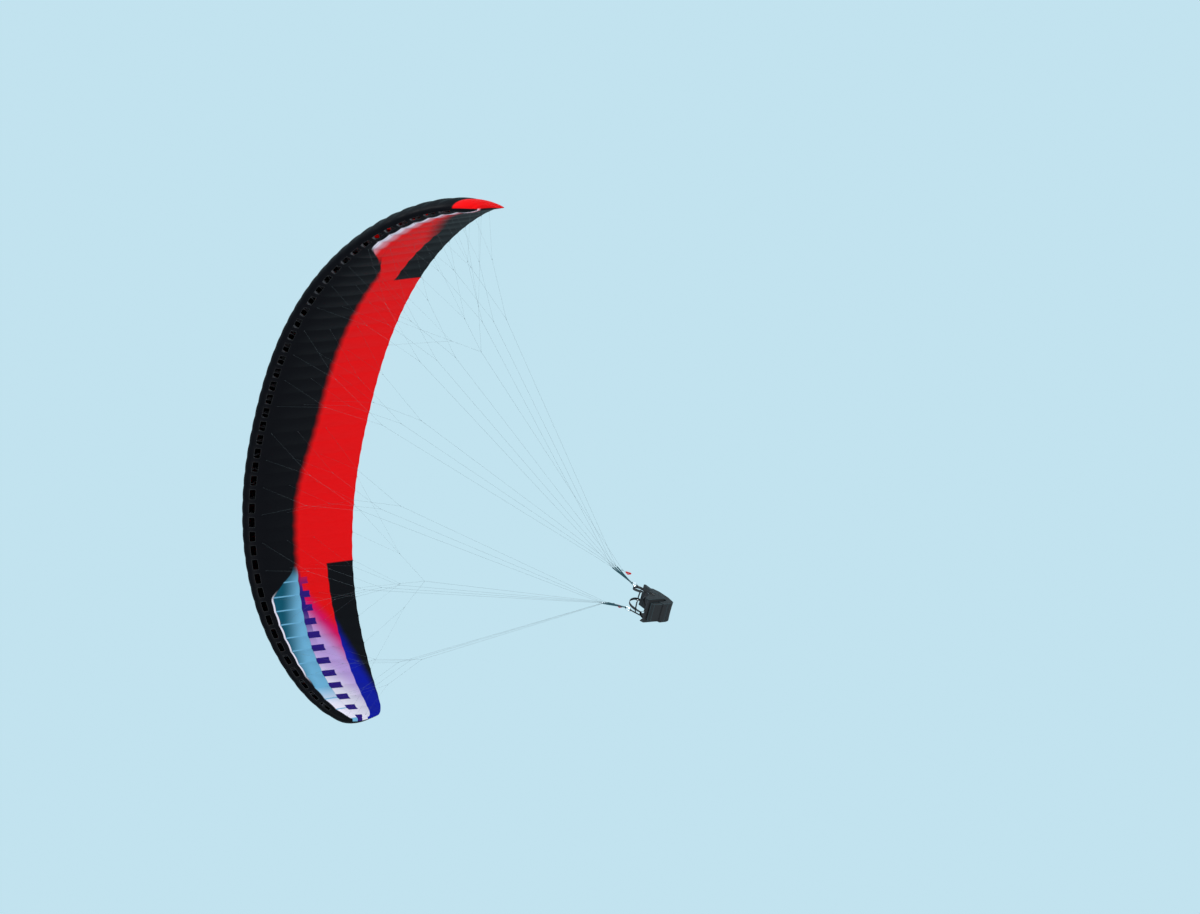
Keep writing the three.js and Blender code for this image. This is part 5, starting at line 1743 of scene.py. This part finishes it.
panel_low = back_place(BAG_LOW, behind + BAG_DEPTH)
panel_high = back_place(BAG_HIGH, behind + BAG_DEPTH - BAG_SLANT)
pocket_up = np.array([0, *unit(panel_high - panel_low)])
pocket_out = np.array([0, pocket_up[2], -pocket_up[1]])
pocket_middle = harness_point(0, *back_place((POCKET_LOW + POCKET_HIGH) / 2, behind + BAG_DEPTH - 0.01))
half_height = (POCKET_HIGH - POCKET_LOW) / 2
outline = rounded([(-POCKET_HALF, half_height), (-POCKET_HALF, -half_height),
                   (POCKET_HALF, -half_height), (POCKET_HALF, half_height)], POCKET_ROUND)
outline = pocket_middle + outline @ np.array([ACROSS, pocket_up])
bag_points, shell_points = points_of(bag.data).astype(float), points_of(shell.data).astype(float)
pocket_edge = laid_on(in_steps(np.vstack([outline, outline[:1]]), 0.006)[:-1], bag_points, pocket_out)
piece("pocket_piping", [sweep(pocket_edge, circle(NARROW_PIPING), pocket_out, closed=True)],
      edging, "harness")
zip_run = pocket_middle + np.outer(np.linspace(-POCKET_ZIP, POCKET_ZIP, 30), ACROSS)
zip_run = zip_run + pocket_up * (half_height - POCKET_ZIP_DOWN)
zips = [(laid_on(zip_run, bag_points, pocket_out, ZIP_LIFT), pocket_out)]
for _, hand in SIDES:
    side_run = smooth_path(harness_point(hand * outer, *np.array(SIDE_ZIP).T), 40)
    out = np.array([float(hand), 0, 0])
    zips.append((laid_on(side_run, shell_points, out, ZIP_LIFT), out))
piece("zip_tapes", [zip_tape(*run) for run in zips], harness_web, "harness")
piece("zip_coils", [zip_coil(*run) for run in zips], edging, "harness")
piece("zip_sliders", [part for run in zips for part in zip_slider(*run)], alloy, "harness")
piece("zip_pulls", [zip_pull(*run) for run in zips], harness_web, "harness")
print("Zips:", len(zips))

# %% [markdown]
# ## Cloth behind the seat
# A gusset joins each side panel to the back rest, and a strip closes the gap between the shell and
# the back rest's foot. Both are single sheets, so each is a grid between two edges.

# %% Cloth behind the seat
GUSSET_CORNER = 0.32             # share of the gusset's height at the seat's rear corner
GUSSET_WALL = ((0.108, 0.146, 0.146), (-0.494, -0.405, -0.213))     # y and z at foot, corner and head
JOINT_SAG = 0.006
PANEL_THICK = 0.002


def hip_gusset():
    """Fabric between a side panel's rear edge and the back rest, over share back and share up, with a
    small bulge outwards. Its lower end closes the corner behind the seat."""
    back_share, up_share = np.meshgrid(np.linspace(0, 1, 9), np.linspace(0, 1, 25), indexing="ij")
    at = (0, GUSSET_CORNER, 1)
    wall = [np.interp(up_share, at, values) for values in GUSSET_WALL]
    foot, corner, head = np.array([0.17, -0.497]), back_place(0.03, 0.045), back_place(0.35, 0.02)
    rest = [np.interp(up_share, at, values) for values in zip(foot, corner, head)]
    y, z = (near + (far - near) * back_share for near, far in zip(wall, rest))
    x = 0.189 - 0.018 * back_share + 0.005 * np.sin(np.pi * back_share) * np.sin(np.pi * up_share)
    return harness_point(x, y, z)


def seat_joint():
    """Fabric from the shell's rear edge up to the back rest's foot, over share across and share up,
    with a small sag backwards."""
    across, up_share = np.meshgrid(np.linspace(-1, 1, 25), np.linspace(0, 1, 9), indexing="ij")
    low, high = np.array([0.114, -0.505]), back_place(0.022, 0.02)
    y, z = (start + (end - start) * up_share for start, end in zip(low, high))
    sag = JOINT_SAG * np.sin(np.pi * up_share) * (1 - across ** 2)
    return harness_point(-(SEAT_HALF + 0.002) * across, y + sag, z)


def panel(name, points, hand=1):
    """Sewn panel of coated nylon, 2 mm thick, between the shell and the back rest."""
    made = piece(name, [grid(points)], coated, "harness", hand, smooth_angle=80)
    mark_open_edges(made)
    thicken(made, PANEL_THICK)


print("Panels", 1000 * PANEL_THICK, "mm thick")

# %% [markdown]
# ## Webbing and buckles
# Flat straps are swept, because a remesh would melt them. All but the main straps can be let out at
# a buckle, which is a bent rod with a bar across it.

# %% Webbing and buckles
BUCKLE_HALF, BUCKLE_MARGIN, BUCKLE_ROUND = 0.014, 0.003, 0.005
HIP_FOOT = np.array([0.0065, -0.38])


def pad_profile(width, thick):
    """Cross-section of a padded strap: a superellipse, full in the middle and thin at its bound edges."""
    turn = -2 * np.pi * np.arange(20) / 20
    across, out = np.cos(turn), np.sin(turn)
    return np.column_stack([np.sign(across) * np.abs(across) ** 0.7 * width / 2,
                            np.sign(out) * np.abs(out) ** 0.8 * thick / 2])


def buckle(centre, along, across, width, thick):
    """Frame buckle: a rounded rectangle of rod with a bar across its middle."""
    along, across = unit(along), unit(across)
    half_wide = width / 2 + BUCKLE_MARGIN
    ring = rounded([(-BUCKLE_HALF, -half_wide), (-BUCKLE_HALF, half_wide), (BUCKLE_HALF, half_wide),
                    (BUCKLE_HALF, -half_wide)], BUCKLE_ROUND)
    path = centre + ring[:, :1] * along + ring[:, 1:] * across
    facing = np.cross(along, across)
    bar = centre + np.outer([-half_wide, half_wide], across)
    return [sweep(path, circle(thick / 2, 10), facing, closed=True),
            sweep(bar, circle(thick / 2, 10), facing)]


def main_strap():
    """Loop round the lower bar, then the strap down to the seat's shell."""
    loop_z = BAR_RADIUS + BAR_PLAY - LOOP_INNER
    loop = ring_path(np.array([0, loop_z]), [LOOP_MIDDLE, 0], [0, LOOP_MIDDLE], 28)
    top = np.array([0, loop_z - LOOP_INNER - 0.001])
    way = top + np.linspace(0, 1, 12)[:, None] * (HIP_FOOT - top)
    return [sweep(harness_point(HANG[0], *loop.T), WEB, ACROSS, closed=True),
            sweep(harness_point(HANG[0], *way.T), WEB, ACROSS)]


print("Buckles", 2000 * BUCKLE_HALF, "mm long")

# %% [markdown]
# ## Straps of the harness
# Main straps pass round the carabiners' lower bars. Padded shoulder straps arch forward from the
# back rest's top, a chest strap keeps the carabiners apart, and two leg straps meet at the seat's
# front.

# %% Straps of the harness
SHOULDER_WIDTH, SHOULDER_THICK = 0.042, 0.008
SHOULDER = np.array([
    (0.095, 0.276, 0.05), (0.095, 0.27, 0.0815), (0.096, 0.262, 0.118), (0.1, 0.225, 0.148),
    (0.108, 0.15, 0.15), (0.118, 0.07, 0.112), (0.132, 0.012, 0.04), (0.148, -0.008, -0.06),
    (0.16, 0.006, -0.135), (0.172, 0.03, -0.198), (0.179, 0.036, -0.225), (0.1805, 0.038, -0.27),
])
SHOULDER_STEPS = 90
PAD_END, WEB_BEGIN, TWIST_BEGIN, TWIST_LONG = 66, 58, 74, 8     # steps of the shoulder strap's path
CHEST_Y, CHEST_Z, CHEST_END = -0.035, -0.112, HANG[0] - WEB_WIDTH / 2 - GAP
CHEST = np.array([(CHEST_END, 0), (CHEST_END - 0.016, -0.009), (CHEST_END - 0.04, -0.02),
                  (0.07, -0.032), (0, CHEST_Y)])
LEG = np.array([
    (0.1805, -0.11, -0.42), (0.1774, -0.11, -0.39), (0.176, -0.11, -0.345), (0.15, -0.112, -0.3),
    (0.105, -0.125, -0.3), (0.06, -0.165, -0.365), (0.028, -0.19, -0.424), (0, -0.19, -0.4294),
])
FRONT_TAB = np.array([(-0.214, -0.488), (SEAT_FRONT - 0.009, -0.475), (SEAT_FRONT - 0.009, -0.44),
                      (-0.222, -0.4275), (-0.178, -0.4285)])
SLIM_WEB, LEG_WEB, LEG_THICK = 0.025, 0.038, 0.004
SHOULDER_BUCKLE, LEG_BUCKLE = 68, 24            # steps of their paths
HIP_LEAN = -0.0175                              # y for each metre of z down the hip strap
HIP_BOXES = ((-0.03, -0.06), (-0.33, -0.37))    # top and foot of each sewn box

shoulder_path = smooth_path(harness_point(*SHOULDER.T), SHOULDER_STEPS)
turning = np.clip((np.arange(SHOULDER_STEPS) - TWIST_BEGIN) / TWIST_LONG, 0, 1)[:, None]
shoulder_across = np.array(ACROSS) * (1 - turning) + np.array([0, 1, 0]) * turning
leg_path = smooth_path(harness_point(*LEG.T), 60)
stitches = [row for face in (-1, 1) for top, foot in HIP_BOXES
            for row in box_stitch(harness_point(HANG[0], HIP_LEAN * foot, foot),
                                  harness_point(HANG[0], HIP_LEAN * top, top), ACROSS, 0.0075,
                                  [0, face * (WEB_THICK / 2 + 0.0002), 0])]
pad_part = sweep(shoulder_path[:PAD_END], pad_profile(SHOULDER_WIDTH, SHOULDER_THICK), ACROSS)
web_part = sweep(shoulder_path[WEB_BEGIN:], strap_profile(SLIM_WEB, 0.0025), shoulder_across[WEB_BEGIN:])
side_buckles = [part for path, step, across, width in ((shoulder_path, SHOULDER_BUCKLE, ACROSS, SLIM_WEB),
                                                       (leg_path, LEG_BUCKLE, [0, 1, 0], LEG_WEB))
                for part in buckle(path[step], path[step + 1] - path[step - 1], across, width, 0.004)]
buckles = []
for word, hand in SIDES:
    strap = piece(f"hip_strap_{word}", main_strap(), harness_web, "harness", hand)
    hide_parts(f"main_strap_{word}")
    piece(f"hip_stitching_{word}", stitches, thread, "harness", hand)
    over = piece(f"shoulder_pad_{word}", [pad_part], spacer, "harness", hand)
    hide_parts(f"shoulder_strap_{word}")
    piece(f"shoulder_web_{word}", [web_part], harness_web, "harness", hand)
    buckles += [mirrored(part, hand) for part in side_buckles]
    panel(f"hip_gusset_{word}", hip_gusset(), hand)
panel("seat_joint", seat_joint())
chest_turn = np.vstack([CHEST, CHEST[-2::-1] * [-1, 1]])
chest_path = smooth_path(harness_point(*chest_turn.T, CHEST_Z), 60)
chest = piece("chest_web", [sweep(chest_path, strap_profile(SLIM_WEB, WEB_THICK), [0, 0, 1])],
              harness_web, "harness")
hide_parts("chest_strap")
buckles += buckle(harness_point(0, CHEST_Y, CHEST_Z), ACROSS, [0, 0, 1], SLIM_WEB, 0.005)
leg_part = sweep(leg_path, strap_profile(LEG_WEB, LEG_THICK), [0, 1, 0])
leg_parts = [mirrored(leg_part, hand) for _, hand in SIDES]
front_tab = smooth_path(harness_point(0, *FRONT_TAB.T), 24)
leg_parts.append(sweep(front_tab, strap_profile(LEG_WEB, 0.003), ACROSS))
legs = piece("leg_webs", leg_parts, harness_web, "harness")
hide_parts("leg_straps")
piece("strap_buckles", buckles, alloy, "harness")
print("Straps:", len(buckles) // 2, "buckles")
